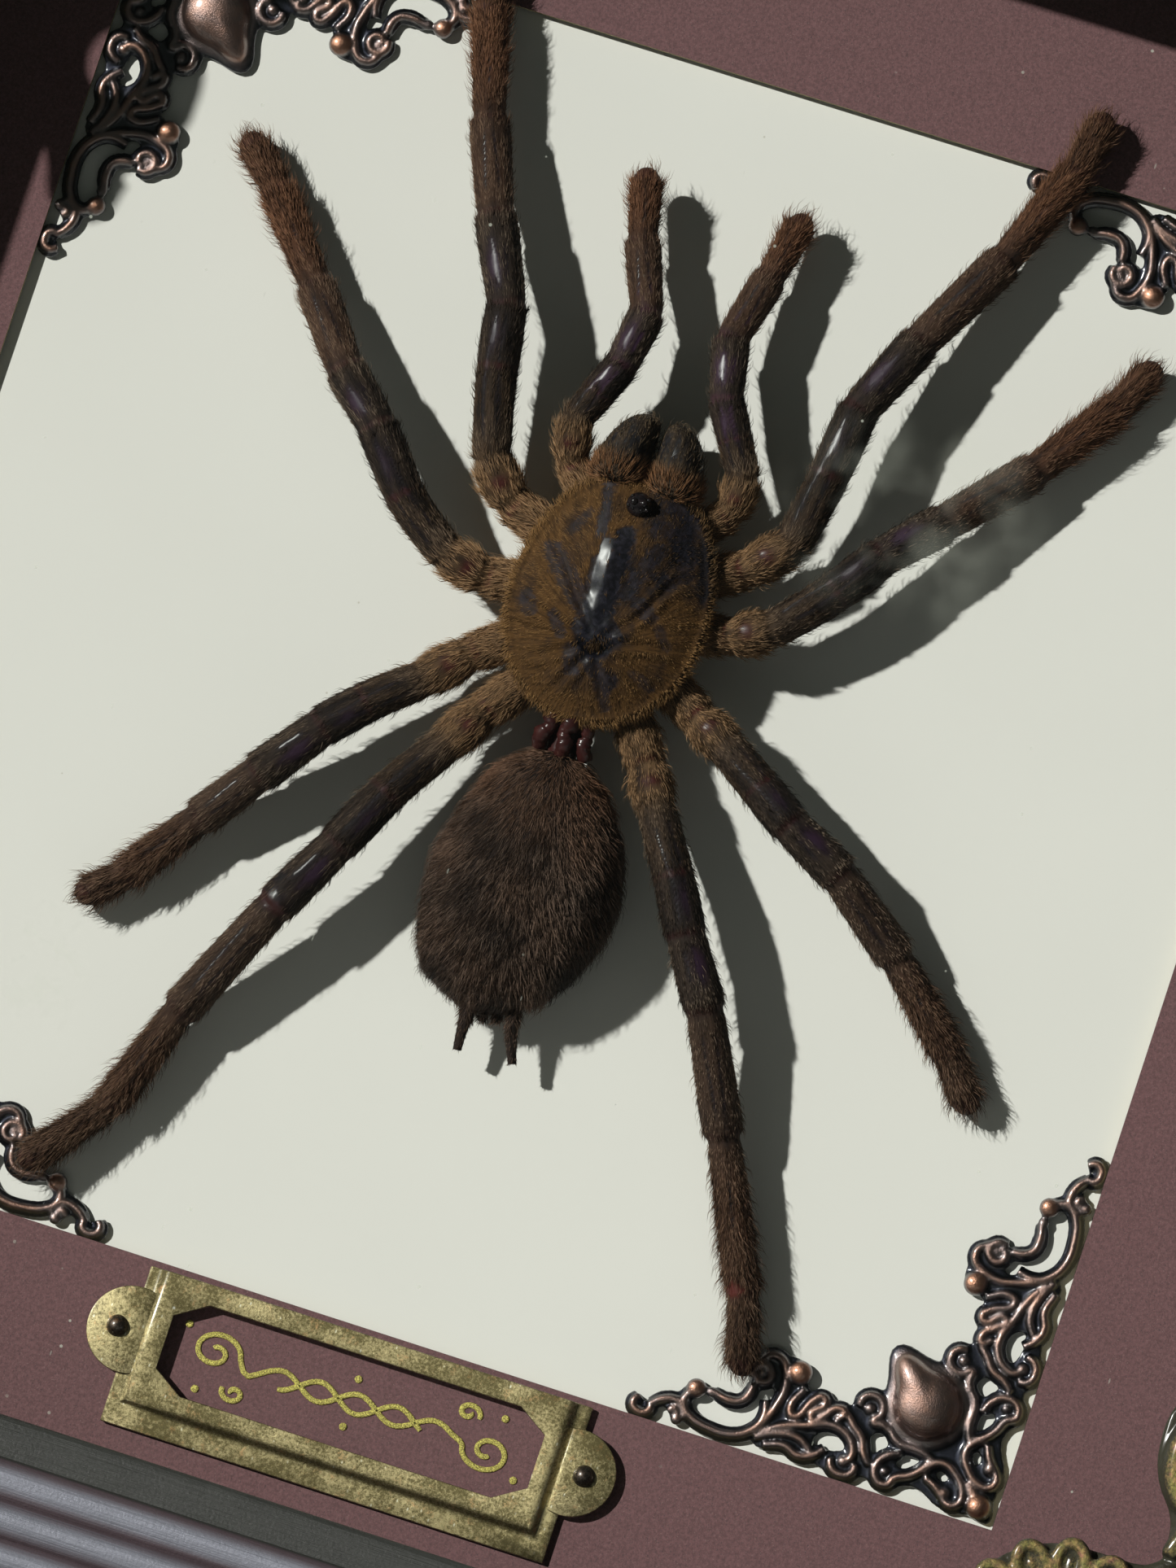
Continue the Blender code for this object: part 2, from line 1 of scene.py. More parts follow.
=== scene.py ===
# %% [markdown]
# # A framed tarantula, finish by finish
# The frame, its glass and its cards come ready-made and to size. This lesson gives them their
# surfaces, and makes again what has too much relief or hair for plain solids: the reeded rails,
# the cast and stamped corners, the label holder and the spider itself. Work starts with the
# ready-made model.

import math

import bpy
import numpy as np
from mathutils import Matrix, Vector
from mathutils.bvhtree import BVHTree


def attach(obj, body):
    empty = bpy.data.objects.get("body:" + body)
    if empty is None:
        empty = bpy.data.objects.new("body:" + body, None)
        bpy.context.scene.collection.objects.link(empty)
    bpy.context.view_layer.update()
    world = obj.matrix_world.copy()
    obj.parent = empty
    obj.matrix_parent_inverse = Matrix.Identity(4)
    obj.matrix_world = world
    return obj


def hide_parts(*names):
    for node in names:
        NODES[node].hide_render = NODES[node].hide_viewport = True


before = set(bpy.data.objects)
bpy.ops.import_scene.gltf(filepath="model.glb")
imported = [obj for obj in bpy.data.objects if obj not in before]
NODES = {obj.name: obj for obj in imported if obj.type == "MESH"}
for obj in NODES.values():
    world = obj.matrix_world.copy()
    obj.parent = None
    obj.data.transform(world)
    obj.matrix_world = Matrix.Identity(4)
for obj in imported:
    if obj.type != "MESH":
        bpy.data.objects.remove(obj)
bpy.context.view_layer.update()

# %% [markdown]
# A thing that hangs in a frame is easiest to lay out flat on a bench: u to the right, v up and w
# towards the viewer, in millimetres from the middle of the cream card. Each piece is modelled on
# that bench, and one matrix then stands it up inside the frame. Baking the matrix into the mesh
# leaves the object at the origin, unturned and unscaled, as the ready-made pieces are.

# %% The bench and a few hand tools
QUARTER = math.pi / 2
MM = 0.001
CARD_DEPTH, CARD_MIDDLE = 0.0075, 0.103
BENCH = (Matrix.Translation((0.0, CARD_DEPTH, CARD_MIDDLE)) @ Matrix.Rotation(QUARTER, 4, "X")
         @ Matrix.Scale(MM, 4))
CORNERS = ("top_right", "top_left", "bottom_left", "bottom_right")


def alone(*pieces):
    """Select only these pieces, the last one active."""
    if bpy.context.object and bpy.context.object.mode != "OBJECT":
        bpy.ops.object.mode_set(mode="OBJECT")
    bpy.ops.object.select_all(action="DESELECT")
    for piece in pieces:
        piece.select_set(True)
        bpy.context.view_layer.objects.active = piece


def shaped(piece, kind, **settings):
    """Add one modifier and apply it."""
    alone(piece)
    modifier = piece.modifiers.new(kind.title(), kind)
    for name, value in settings.items():
        setattr(modifier, name, value)
    bpy.ops.object.modifier_apply(modifier=modifier.name)
    return piece


def joined(pieces):
    """Join pieces into the last one."""
    alone(*pieces)
    bpy.ops.object.join()
    return bpy.context.object


def points_of(piece):
    """The mesh's points as an array."""
    places = np.empty(len(piece.data.vertices) * 3)
    piece.data.vertices.foreach_get("co", places)
    return places.reshape(-1, 3)


def put_points(piece, places):
    """Move the mesh's points to new places."""
    piece.data.vertices.foreach_set("co", np.asarray(places, np.float64).ravel())
    piece.data.update()


def mark(piece, **levels):
    """Store one number for each point under each name, for the piece's finish to read."""
    for name, values in levels.items():
        layer = piece.data.attributes.new(name, "FLOAT", "POINT")
        spread = np.broadcast_to(values, len(piece.data.vertices))
        layer.data.foreach_set("value", np.ascontiguousarray(spread, np.float32))


def copied(piece, turn):
    """A copy with its own mesh, turned about the middle of the bench."""
    alone(piece)
    bpy.ops.object.duplicate(linked=False)
    copy = bpy.context.object
    copy.data.transform(Matrix.Rotation(turn, 4, "Z"))
    return copy


def mounted(piece, name, finish, slot, *stands_for):
    """Stand a bench piece up in the frame, name it, finish it and fix it there."""
    alone(piece)
    bpy.ops.object.transform_apply(location=True, rotation=True, scale=True)
    piece.name = name
    piece.data.name = name
    piece.data.transform(BENCH)
    if finish:
        piece.data.materials.clear()
        piece.data.materials.append(finish)
    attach(piece, "root")
    if stands_for:
        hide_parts(*stands_for)
    piece.data.calc_loop_triangles()
    print(f"{name}: {len(piece.data.loop_triangles)} triangles")
    return piece


# %% [markdown]
# Surfaces are written as arithmetic. A small class wraps a node's output, and adding or
# multiplying two of them lays down the matching Math node, so a mask reads like a formula.
# Colours go through Mix nodes. Patterns read Object coordinates scaled to millimetres, so a
# number in a noise is a count per millimetre of the real thing.


# %% Shader arithmetic
class Level:
    """One number or colour that varies over a surface."""

    def __init__(self, tree, socket):
        self.tree = tree
        self.socket = socket

    def math(self, operation, *terms):
        return sum_up(self.tree, operation, self, *terms)

    def __add__(self, other):
        return self.math("ADD", other)

    def __sub__(self, other):
        return self.math("SUBTRACT", other)

    def __rsub__(self, other):
        return sum_up(self.tree, "SUBTRACT", other, self)

    def __mul__(self, other):
        return self.math("MULTIPLY", other)

    def __truediv__(self, other):
        return self.math("DIVIDE", other)

    def __pow__(self, other):
        return self.math("POWER", other)

    __radd__ = __add__
    __rmul__ = __mul__

    def between(self, low, high):
        """0 below low, 1 above high and smooth in between."""
        return node(self.tree, "ShaderNodeMapRange", {"interpolation_type": "SMOOTHSTEP"},
                    {"Value": self, "From Min": low, "From Max": high})


def node(tree, kind, settings, sockets, output=0):
    """Lay down one node: its settings first, then its sockets' values or links."""
    made = tree.nodes.new(kind)
    stops = settings.pop("stops", None)
    for name, value in settings.items():
        setattr(made, name, value)
    if stops:
        ramp = made.color_ramp.elements
        while len(ramp) < len(stops):
            ramp.new(0.5)
        for element, (place, colour) in zip(ramp, stops):
            element.position = place
            element.color = (*colour, 1.0)
    for name, value in sockets.items():
        feed(tree, made.inputs[name], value)
    return Level(tree, made.outputs[output])


def feed(tree, socket, value):
    """Link a Level to a socket, or write a plain number or colour on it."""
    if isinstance(value, Level):
        tree.links.new(value.socket, socket)
    elif socket.type == "RGBA":
        socket.default_value = (*value[:3], 1.0)
    else:
        socket.default_value = value


def sum_up(tree, operation, *terms):
    """Lay down one Math node."""
    return node(tree, "ShaderNodeMath", {"operation": operation}, dict(enumerate(terms)))


class Finish:
    """A material under construction."""

    def __init__(self, name, colour, roughness, metallic=0.0, **constants):
        self.material = bpy.data.materials.new(name)
        self.material.use_nodes = True
        self.tree = self.material.node_tree
        self.shader = self.tree.nodes["Principled BSDF"]
        self.material.diffuse_color = (*colour, 1.0)
        constants = {"Base Color": colour, "Roughness": roughness, "Metallic": metallic,
                     **{key.replace("_", " "): value for key, value in constants.items()}}
        for key, value in constants.items():
            feed(self.tree, self.shader.inputs[key], value)
        self.grid = self.node("ShaderNodeVectorMath", {"operation": "SCALE"},
                              {0: self.node("ShaderNodeTexCoord", {}, {}, 3), "Scale": 1.0 / MM})

    def node(self, kind, settings, sockets, output=0):
        """Lay down one node in this material."""
        return node(self.tree, kind, settings, sockets, output)

    def stretched(self, stretch):
        """The millimetre grid, scaled differently along each axis if that is asked for."""
        if not stretch:
            return self.grid
        return self.node("ShaderNodeVectorMath", {"operation": "MULTIPLY"}, {0: self.grid, 1: stretch})

    def noise(self, per_mm, detail=3.0, roughness=0.55, stretch=None):
        """Soft noise from 0 to 1, with so many blobs to the millimetre along each axis."""
        return self.node("ShaderNodeTexNoise", {}, {
            "Vector": self.stretched(stretch), "Scale": per_mm, "Detail": detail,
            "Roughness": roughness})

    def specks(self, per_mm, size, stretch=None):
        """1 inside scattered specks, which fill the given share of their cells."""
        return 1.0 - self.node("ShaderNodeTexVoronoi", {}, {
            "Vector": self.stretched(stretch), "Scale": per_mm}).between(size * 0.6, size)

    def marked(self, name):
        """The number that mark() stored."""
        return self.node("ShaderNodeAttribute", {"attribute_name": name}, {}, 2)

    def axis(self, index):
        """One coordinate, in millimetres."""
        return self.node("ShaderNodeSeparateXYZ", {}, {0: self.grid}, index)

    def mix(self, share, first, second):
        """The first colour where share is 0, the second where it is 1."""
        return self.node("ShaderNodeMix", {"data_type": "RGBA"},
                         {0: share, 6: first, 7: second}, 2)

    def shade(self, colour, amount):
        """A colour darkened or lightened by a number round 1."""
        grey = self.node("ShaderNodeCombineColor", {}, {0: amount, 1: amount, 2: amount})
        return self.node("ShaderNodeMix", {"data_type": "RGBA", "blend_type": "MULTIPLY"},
                         {0: 1.0, 6: colour, 7: grey}, 2)

    def bump(self, height, depth_mm):
        """A relief whose full height is depth_mm."""
        return self.node("ShaderNodeBump", {}, {"Height": height, "Distance": depth_mm * MM,
                                                "Strength": 1.0})

    def done(self, **sockets):
        """Link what varies to the shader and hand the material over."""
        for key, value in sockets.items():
            feed(self.tree, self.shader.inputs[key.replace("_", " ")], value)
        return self.material


# %% [markdown]
# The picture was taken from the frame's lower right through a long lens, with the camera rolled, so
# the frame leans in view. The camera's three axes are written on the bench grid and stood up with
# the same matrix as the pieces. The focal length and the picture's height are both in pixels.

# %% Camera
CAMERA_PLACE = (140.5, -145.9, 1224.6)
CAMERA_AXES = ((0.9474, 0.3124, -0.0703), (-0.3005, 0.9433, 0.1412), (0.1104, -0.1127, 0.9875))
FOCAL_LENGTH, PICTURE_HEIGHT = 16000.0, 1927.0
SENSOR_HEIGHT = 36.0
lens = bpy.data.cameras.new("camera")
lens.sensor_fit = "VERTICAL"
lens.sensor_height = SENSOR_HEIGHT
lens.lens = FOCAL_LENGTH / PICTURE_HEIGHT * SENSOR_HEIGHT
lens.clip_end = 20.0
camera = bpy.data.objects.new("camera", lens)
bpy.context.scene.collection.objects.link(camera)
turn = BENCH.to_3x3().normalized() @ Matrix(CAMERA_AXES).transposed()
camera.matrix_world = Matrix.Translation(BENCH @ Vector(CAMERA_PLACE)) @ turn.to_4x4()
bpy.context.scene.camera = camera
print("camera at", [round(x, 3) for x in camera.matrix_world.translation])

# %% [markdown]
# One lamp from the upper left gives the crisp cast shadows that lift the legs off the card. A pale
# surround fills them a little, and soft lamps behind and beside the frame serve the other sides
# without reaching the card. The floor is a plain pale sheet that stops just before the frame,
# because the camera looks up from a little below it.

# %% Light and floor
scene = bpy.context.scene
scene.view_settings.view_transform = "Standard"
scene.view_settings.look = "None"
SUN_TRAVEL = Vector((1.01, 1.0, -0.26))


def lamp(name, kind, energy, place, towards, colour=(1.0, 1.0, 1.0), **settings):
    """Hang one lamp at a place and aim it along a direction."""
    data = bpy.data.lights.new(name, kind)
    data.energy = energy
    data.color = colour
    for key, value in settings.items():
        setattr(data, key, value)
    light = bpy.data.objects.new(name, data)
    scene.collection.objects.link(light)
    light.location = place
    light.rotation_euler = Vector(towards).to_track_quat("-Z", "Y").to_euler()
    print(f"lamp {name}: {kind.lower()}, strength {energy}")


lamp("key", "SUN", 4.0, (-1.0, -1.0, 0.6), SUN_TRAVEL, (1.0, 0.985, 0.95), angle=math.radians(1.6))
lamp("back", "AREA", 9.0, (0.5, 1.1, 0.9), (-0.5, -1.1, -0.7), size=0.9)
lamp("side", "AREA", 4.0, (1.2, 0.35, 0.6), (-1.2, -0.3, -0.5), size=0.7)
surround = bpy.data.worlds.new("surround")
surround.use_nodes = True
scene.world = surround
sky = surround.node_tree
sky.nodes.clear()
to_camera = node(sky, "ShaderNodeLightPath", {}, {})
pale = node(sky, "ShaderNodeBackground", {}, {"Color": (0.84, 0.84, 0.82), "Strength": 1.0})
fill = node(sky, "ShaderNodeBackground", {}, {"Color": (0.90, 1.0, 0.90), "Strength": 0.045})
seen = node(sky, "ShaderNodeMixShader", {}, {0: to_camera, 1: fill, 2: pale})
sky.links.new(seen.socket, sky.nodes.new("ShaderNodeOutputWorld").inputs["Surface"])

bpy.ops.mesh.primitive_plane_add(size=1.0, location=(0.0, 0.44, -0.0002))
floor = bpy.context.object
floor.name = "floor"
floor.scale = (1.6, 1.12, 1.0)
FLOOR_GREY = (0.74, 0.74, 0.72)
floor_paint = Finish("floor_paint", FLOOR_GREY, 0.8)
floor.data.materials.append(floor_paint.done(
    Base_Color=floor_paint.shade(FLOOR_GREY, 0.98 + 0.04 * floor_paint.noise(0.02))))

# %% [markdown]
# ## The rails
# A picture moulding is milled as one long length and mitred: here too. A circle's points are set
# to the moulding's section, the section is extruded, and two slanting bisects cut the mitres. The
# front carries a flat inner band and four rounded reeds. Three copies turned by a quarter each
# close the frame. Each point keeps its distance along and across the moulding for the paint.

# %% The moulding's section
SIGHT_HALF = 81.4
RAIL_WIDTH = 21.6
BAND = 4.1
REED_PITCH = 3.55
REED_CRESTS = (20.2, 21.6, 22.2, 21.2)
REED_VALLEYS = (18.7, 19.5, 20.6, 20.5, 19.0)
ROUND_STEPS = 12
MITRE_GAP = 0.15

section = [(7.0, -11.0), (21.6, -11.0), (21.6, 16.6), (21.4, 17.6), (20.7, 18.5), (19.6, 18.9)]
for reed in reversed(range(4)):
    for step in range(ROUND_STEPS):
        share = 1.0 - step / ROUND_STEPS
        valley = REED_VALLEYS[reed] + (REED_VALLEYS[reed + 1] - REED_VALLEYS[reed]) * share
        rise = math.sin(math.pi * share) ** 0.62
        section.append((BAND + REED_PITCH * (reed + share),
                        valley + (REED_CRESTS[reed] - valley) * rise))
section += [(BAND, REED_VALLEYS[0]), (3.8, 18.25), (2.2, 18.15), (0.7, 17.95), (0.2, 17.7),
            (0.0, 17.3), (0.0, 16.4), (5.0, 16.4), (5.0, 13.7), (1.5, 13.7), (1.5, 1.4), (7.0, 1.4)]
print("moulding section:", len(section), "corners")

# %% Extruding and mitring one rail
alone()
bpy.ops.mesh.primitive_circle_add(vertices=len(section), radius=1.0, fill_type="NGON")
rail = bpy.context.object
REACH = SIGHT_HALF + RAIL_WIDTH
put_points(rail, [(-REACH, SIGHT_HALF + s, w) for s, w in section])
bpy.ops.object.mode_set(mode="EDIT")
bpy.ops.mesh.select_all(action="SELECT")
bpy.ops.mesh.extrude_region_move(TRANSFORM_OT_translate={"value": (2 * REACH, 0.0, 0.0)})
for side in (-1, 1):
    bpy.ops.mesh.select_all(action="SELECT")
    bpy.ops.mesh.bisect(plane_co=(0.0, MITRE_GAP * math.sqrt(2), 0.0), plane_no=(side, -1.0, 0.0),
                        use_fill=True, clear_outer=True)
bpy.ops.mesh.select_all(action="SELECT")
bpy.ops.mesh.normals_make_consistent(inside=False)
bpy.ops.object.mode_set(mode="OBJECT")
bpy.ops.object.shade_smooth_by_angle(angle=math.radians(40))
places = points_of(rail)
mark(rail, along=places[:, 0], across=places[:, 1] - SIGHT_HALF, height=places[:, 2])
print("rail section:", len(section), "points, length", round(2 * REACH), "mm")

# %% [markdown]
# The rails are painted wood: a dark grey-green band, and reeds brushed with a silvery mauve that
# thins to dark brown in the valleys. Long streaks follow the brush, so the noise is stretched
# along the rail, and a little wear breaks the crests. Sides and back are plain dark paint.

# %% Rail paint
paint = Finish("reeded_moulding", (0.20, 0.17, 0.19), 0.42)
along, across, height = (paint.marked(name) for name in ("along", "across", "height"))
flow = paint.node("ShaderNodeCombineXYZ", {}, {0: along * 0.05, 1: across * 4.0, 2: height * 4.0})
streaks = paint.node("ShaderNodeTexNoise", {}, {"Vector": flow, "Scale": 1.0, "Detail": 5.0,
                                                "Roughness": 0.6})
fine = paint.node("ShaderNodeTexNoise", {}, {"Vector": flow, "Scale": 3.1, "Detail": 3.0})
reed_share = (across - BAND) / REED_PITCH
valley = reed_share.math("FRACT").math("SUBTRACT", 0.5).math("ABSOLUTE") * 2.0
on_reeds = across.between(BAND - 0.25, BAND + 0.1) * height.between(17.0, 18.5)
crest = 1.0 - (valley + 0.5 * (streaks - 0.5)).between(0.28, 0.92)
mottle = paint.noise(0.35, 5.0)
reed_colour = paint.mix(crest, (0.085, 0.062, 0.070), (0.235, 0.245, 0.285))
reed_colour = paint.shade(reed_colour, 0.72 + 0.36 * streaks + 0.28 * (fine - 0.5) + 0.2 * mottle)
band_colour = paint.shade((0.026, 0.028, 0.024), 0.5 + 0.6 * mottle + 0.5 * fine)
side_colour = paint.shade((0.040, 0.028, 0.028), 0.6 + 0.8 * mottle)
on_front = height.between(16.9, 17.5)
colour = paint.mix(on_reeds, paint.mix(on_front, side_colour, band_colour), reed_colour)
grain = paint.bump(streaks + 0.4 * paint.noise(3.0, 4.0), 0.10)
rail_paint = paint.done(Base_Color=colour, Metallic=0.45 * on_reeds * crest,
                        Roughness=0.34 + 0.2 * streaks + 0.12 * mottle, Normal=grain)

rails = [rail] + [copied(rail, QUARTER * step) for step in (1, 2, 3)]
for piece, side in zip(rails, ("top", "left", "bottom", "right")):
    mounted(piece, f"rail_{side}", rail_paint, "frame_moulding", f"frame_rail_{side}")

# %% [markdown]
# ## Glass and cards
# The flat sheets keep their ready-made shapes and only get surfaces. The pane is true glass to the
# eye, but light on its way between lamps and cards passes straight through, as thin glass lets it.
# On its face lie dust specks and two faint smudges, mixed in as a trace of grey.

# %% Glass
glass = Finish("picture_glass", (0.97, 0.99, 0.98), 0.0, IOR=1.45, Transmission_Weight=1.0)
u, v = glass.axis(0), glass.axis(2) - CARD_MIDDLE / MM


def blot(u, v, middle, size):
    """1 in the middle of a soft round patch, fading to 0 at its edge."""
    far = (((u - middle[0]) / size[0]) ** 2.0 + ((v - middle[1]) / size[1]) ** 2.0)
    return 1.0 - far.between(0.0, 1.0)


cloud = glass.noise(0.16, 2.0, 0.6).between(0.35, 0.7)
smear = glass.noise(0.5, 1.0).between(0.52, 0.68)
haze = (blot(u, v, (27.0, 25.0), (15.0, 12.0)) * cloud * 0.16
        + blot(u, v, (-39.0, -41.0), (6.0, 9.0)) * smear * 0.12)
patchy = glass.noise(0.08, 1.0)
dust = (glass.specks(0.22, 0.045) * patchy.between(0.45, 0.55) * 0.45
        + glass.specks(0.5, 0.05, (1.0, 1.0, 0.3)) * patchy.between(0.55, 0.65) * 0.25)
powder = glass.node("ShaderNodeBsdfDiffuse", {}, {"Color": (0.62, 0.66, 0.56)})
clear_glass = glass.material.node_tree.nodes["Principled BSDF"].outputs[0]
dusty = glass.node("ShaderNodeMixShader", {}, {0: haze + dust, 1: Level(glass.tree, clear_glass),
                                              2: powder})
through = glass.node("ShaderNodeBsdfTransparent", {}, {"Color": (0.98, 0.99, 0.98)})
path = [glass.node("ShaderNodeLightPath", {}, {}, kind) for kind in (1, 2, 3)]
passes = path[0].math("MAXIMUM", path[1]).math("MAXIMUM", path[2])
pane = glass.node("ShaderNodeMixShader", {}, {0: passes, 1: dusty, 2: through})
glass.tree.links.new(pane.socket, glass.tree.nodes["Material Output"].inputs["Surface"])
NODES["glass_pane"].material_slots[0].material = glass.material
print("glass:", len(glass.tree.nodes), "nodes")

# %% [markdown]
# The mat is mauve card flecked with fine coloured fibres, and its bevelled window edge shows the
# light core. The cream card behind is smooth and matt with barely any tooth. The backing is
# pressed brown board with a felted surface.

# %% Cards
mauve = Finish("mauve_card", (0.148, 0.070, 0.075), 0.88)
fibres = (mauve.specks(2.2, 0.16, (1.0, 1.0, 2.3)) * 0.55
          + mauve.specks(2.6, 0.15, (2.3, 1.0, 1.0)) * 0.4)
dark_fibres = mauve.specks(1.9, 0.20, (1.6, 1.0, 1.0))
tooth = mauve.noise(5.0, 3.0, 0.7)
felt = mauve.noise(0.8, 4.0)
grain = mauve.noise(3.2, 3.0, 0.8)
clots = mauve.noise(2.8, 2.0, 0.7).between(0.35, 0.65)
body = mauve.shade((0.152, 0.074, 0.079),
                   0.12 + 0.70 * tooth + 0.56 * grain + 0.18 * felt + 0.29 * clots)
flecked = mauve.mix(fibres * 0.65, mauve.mix(dark_fibres * 0.6, body, (0.060, 0.038, 0.046)),
                    (0.36, 0.27, 0.25))
facing = mauve.node("ShaderNodeSeparateXYZ", {}, {0: mauve.node("ShaderNodeNewGeometry", {}, {}, 1)}, 1)
edge = 1.0 - facing.math("ABSOLUTE").between(0.3, 0.6)
mauve.done(Base_Color=mauve.mix(edge, flecked, (0.36, 0.30, 0.16)), Roughness=0.8 + 0.15 * tooth,
           Normal=mauve.bump(tooth, 0.05))
NODES["window_mat"].material_slots[0].material = mauve.material

cream = Finish("cream_card", (0.78, 0.76, 0.72), 0.85)
pores = cream.noise(4.0, 2.0, 0.65)
wash = cream.noise(0.05, 1.0)
grit = cream.specks(0.16, 0.022) * 0.5
paper = cream.shade((0.775, 0.760, 0.722), 0.965 + 0.03 * pores + 0.04 * wash)
cream.done(Base_Color=cream.mix(grit, paper, (0.42, 0.38, 0.30)), Roughness=0.78 + 0.12 * pores)
NODES["cream_card"].material_slots[0].material = cream.material

board = Finish("hardboard", (0.22, 0.13, 0.07), 0.85)
chips = board.noise(0.9, 5.0, 0.7, (1.0, 1.0, 0.5))
board.done(Base_Color=board.shade((0.23, 0.135, 0.072), 0.55 + 0.7 * chips + 0.2 * board.noise(0.05)),
           Roughness=0.75 + 0.2 * chips, Normal=board.bump(chips, 0.12))
NODES["backing_board"].material_slots[0].material = board.material
print("cards:", ", ".join(card.material.name for card in (mauve, cream, board)))

# %% [markdown]
# ## The filigree corners
# Each window corner holds a copper stamping: rounded wires of scrollwork pressed up from a thin
# sheet, round a teardrop boss. Drawing every wire as a curve is the natural way. Each is laid down
# twice, as a fine raised ridge and as a wide flat band under it, then all is fused by a voxel
# remesh and softened, so that ridge and sheet flow together as they do in pressed metal. One arm
# is drawn, mirrored over the corner's diagonal, and the finished corner is copied to the others.
# Beads are written as u, v and radius, and holes as a middle, two half sizes and a tilt.

# %% Wires of one arm, in the lower right corner of the window
WIRES = (
    ((27.0, -60.5), (26.6, -61.3), (27.3, -62.0), (28.3, -61.6), (28.2, -60.8)),
    ((28.2, -61.0), (29.2, -60.2), (30.6, -59.9), (31.3, -60.3), (31.7, -61.3)),
    ((30.0, -61.2), (30.5, -60.7), (31.0, -61.2)),
    ((31.9, -58.3), (31.2, -59.3), (31.3, -60.2), (32.2, -61.0), (34.0, -61.5), (36.5, -61.4),
     (38.2, -60.3), (38.8, -59.0), (38.5, -57.3)),
    ((33.6, -58.1), (35.0, -58.4), (36.3, -58.1), (36.9, -57.0), (36.9, -56.2)),
    ((36.9, -55.2), (37.4, -55.8), (38.2, -55.4), (38.1, -54.5), (37.3, -54.1), (36.5, -54.7),
     (36.5, -55.7)),
    ((36.9, -54.0), (37.7, -53.1), (38.8, -53.2), (39.5, -54.2), (39.9, -55.8), (39.6, -57.5),
     (39.1, -59.0), (38.3, -60.6)),
    ((41.7, -55.2), (40.9, -57.3), (41.4, -58.0), (42.8, -56.0), (43.5, -55.4), (44.0, -55.9),
     (43.0, -57.4), (43.4, -57.8), (44.2, -57.1), (45.2, -56.0), (46.0, -56.2), (45.4, -57.1)),
    ((38.9, -60.4), (40.5, -59.3), (43.0, -58.4), (45.0, -57.7), (46.6, -58.0), (47.6, -59.0),
     (47.8, -60.0), (47.2, -60.7)),
    ((45.9, -60.6), (46.3, -61.5), (47.3, -61.9), (48.3, -61.4), (48.4, -60.5)),
    ((38.5, -61.0), (40.5, -60.0), (42.5, -59.8), (43.9, -60.6)),
    ((39.5, -61.4), (41.5, -60.9), (43.0, -61.4), (44.2, -61.0), (45.2, -60.0)),
    ((46.3, -56.2), (47.0, -57.0), (48.2, -58.0), (48.8, -59.3), (49.6, -60.2)),
    ((47.0, -55.2), (47.2, -54.3), (48.0, -53.8), (49.0, -54.2), (49.3, -55.3), (48.8, -56.2),
     (49.7, -56.2), (50.5, -56.6)),
    ((50.3, -56.2), (51.5, -57.3), (54.0, -57.5), (55.3, -58.0)),
    ((52.2, -58.2), (51.0, -58.8), (50.3, -59.8), (50.5, -61.1), (51.7, -61.5), (52.3, -60.6),
     (53.5, -60.0), (54.4, -59.2), (55.0, -58.0)),
    ((54.7, -59.4), (55.2, -58.4), (56.3, -57.9), (57.6, -58.5), (58.7, -59.8), (58.8, -61.0),
     (58.0, -61.5), (57.1, -61.1)),
    ((55.0, -59.7), (56.3, -60.3), (57.0, -61.0)),
    ((58.9, -58.9), (59.6, -59.8), (60.6, -60.8)),
)
BEADS = ((31.0, -61.6, 0.62), (31.9, -58.3, 1.0), (33.4, -58.2, 0.55), (40.8, -53.9, 1.2),
         (47.2, -60.6, 0.6), (57.1, -60.6, 0.65), (60.6, -60.8, 1.25), (37.3, -54.9, 0.55),
         (48.1, -55.1, 0.6), (51.2, -60.3, 0.5))
SHEET = (
    (62.0, -62.0), (59.9, -61.9), (57.3, -62.1), (54.1, -60.9), (51.3, -62.1), (49.5, -61.5),
    (47.3, -62.2), (44.5, -61.7), (40.5, -61.6), (38.5, -61.6), (38.2, -59.0), (39.2, -56.8),
    (37.0, -54.5), (38.1, -53.1), (41.3, -53.0), (42.2, -55.1), (46.1, -55.5), (47.6, -53.7),
    (49.3, -53.3), (48.5, -49.0),
)
SHEET_HOLES = (((45.7, -59.1), (1.9, 0.85), 0.25), ((49.8, -58.0), (1.0, 0.9), 0.8),
               ((53.1, -58.8), (1.15, 0.7), 0.35), ((56.6, -59.0), (0.7, 0.5), 0.2))
print("one arm:", len(WIRES), "wires and", len(BEADS), "beads")


TEN_TURNS = [math.tau * i / 10 for i in range(10)]


def over_diagonal(points):
    """Mirror places over the corner's diagonal."""
    return [(-v, -u) for u, v in points]


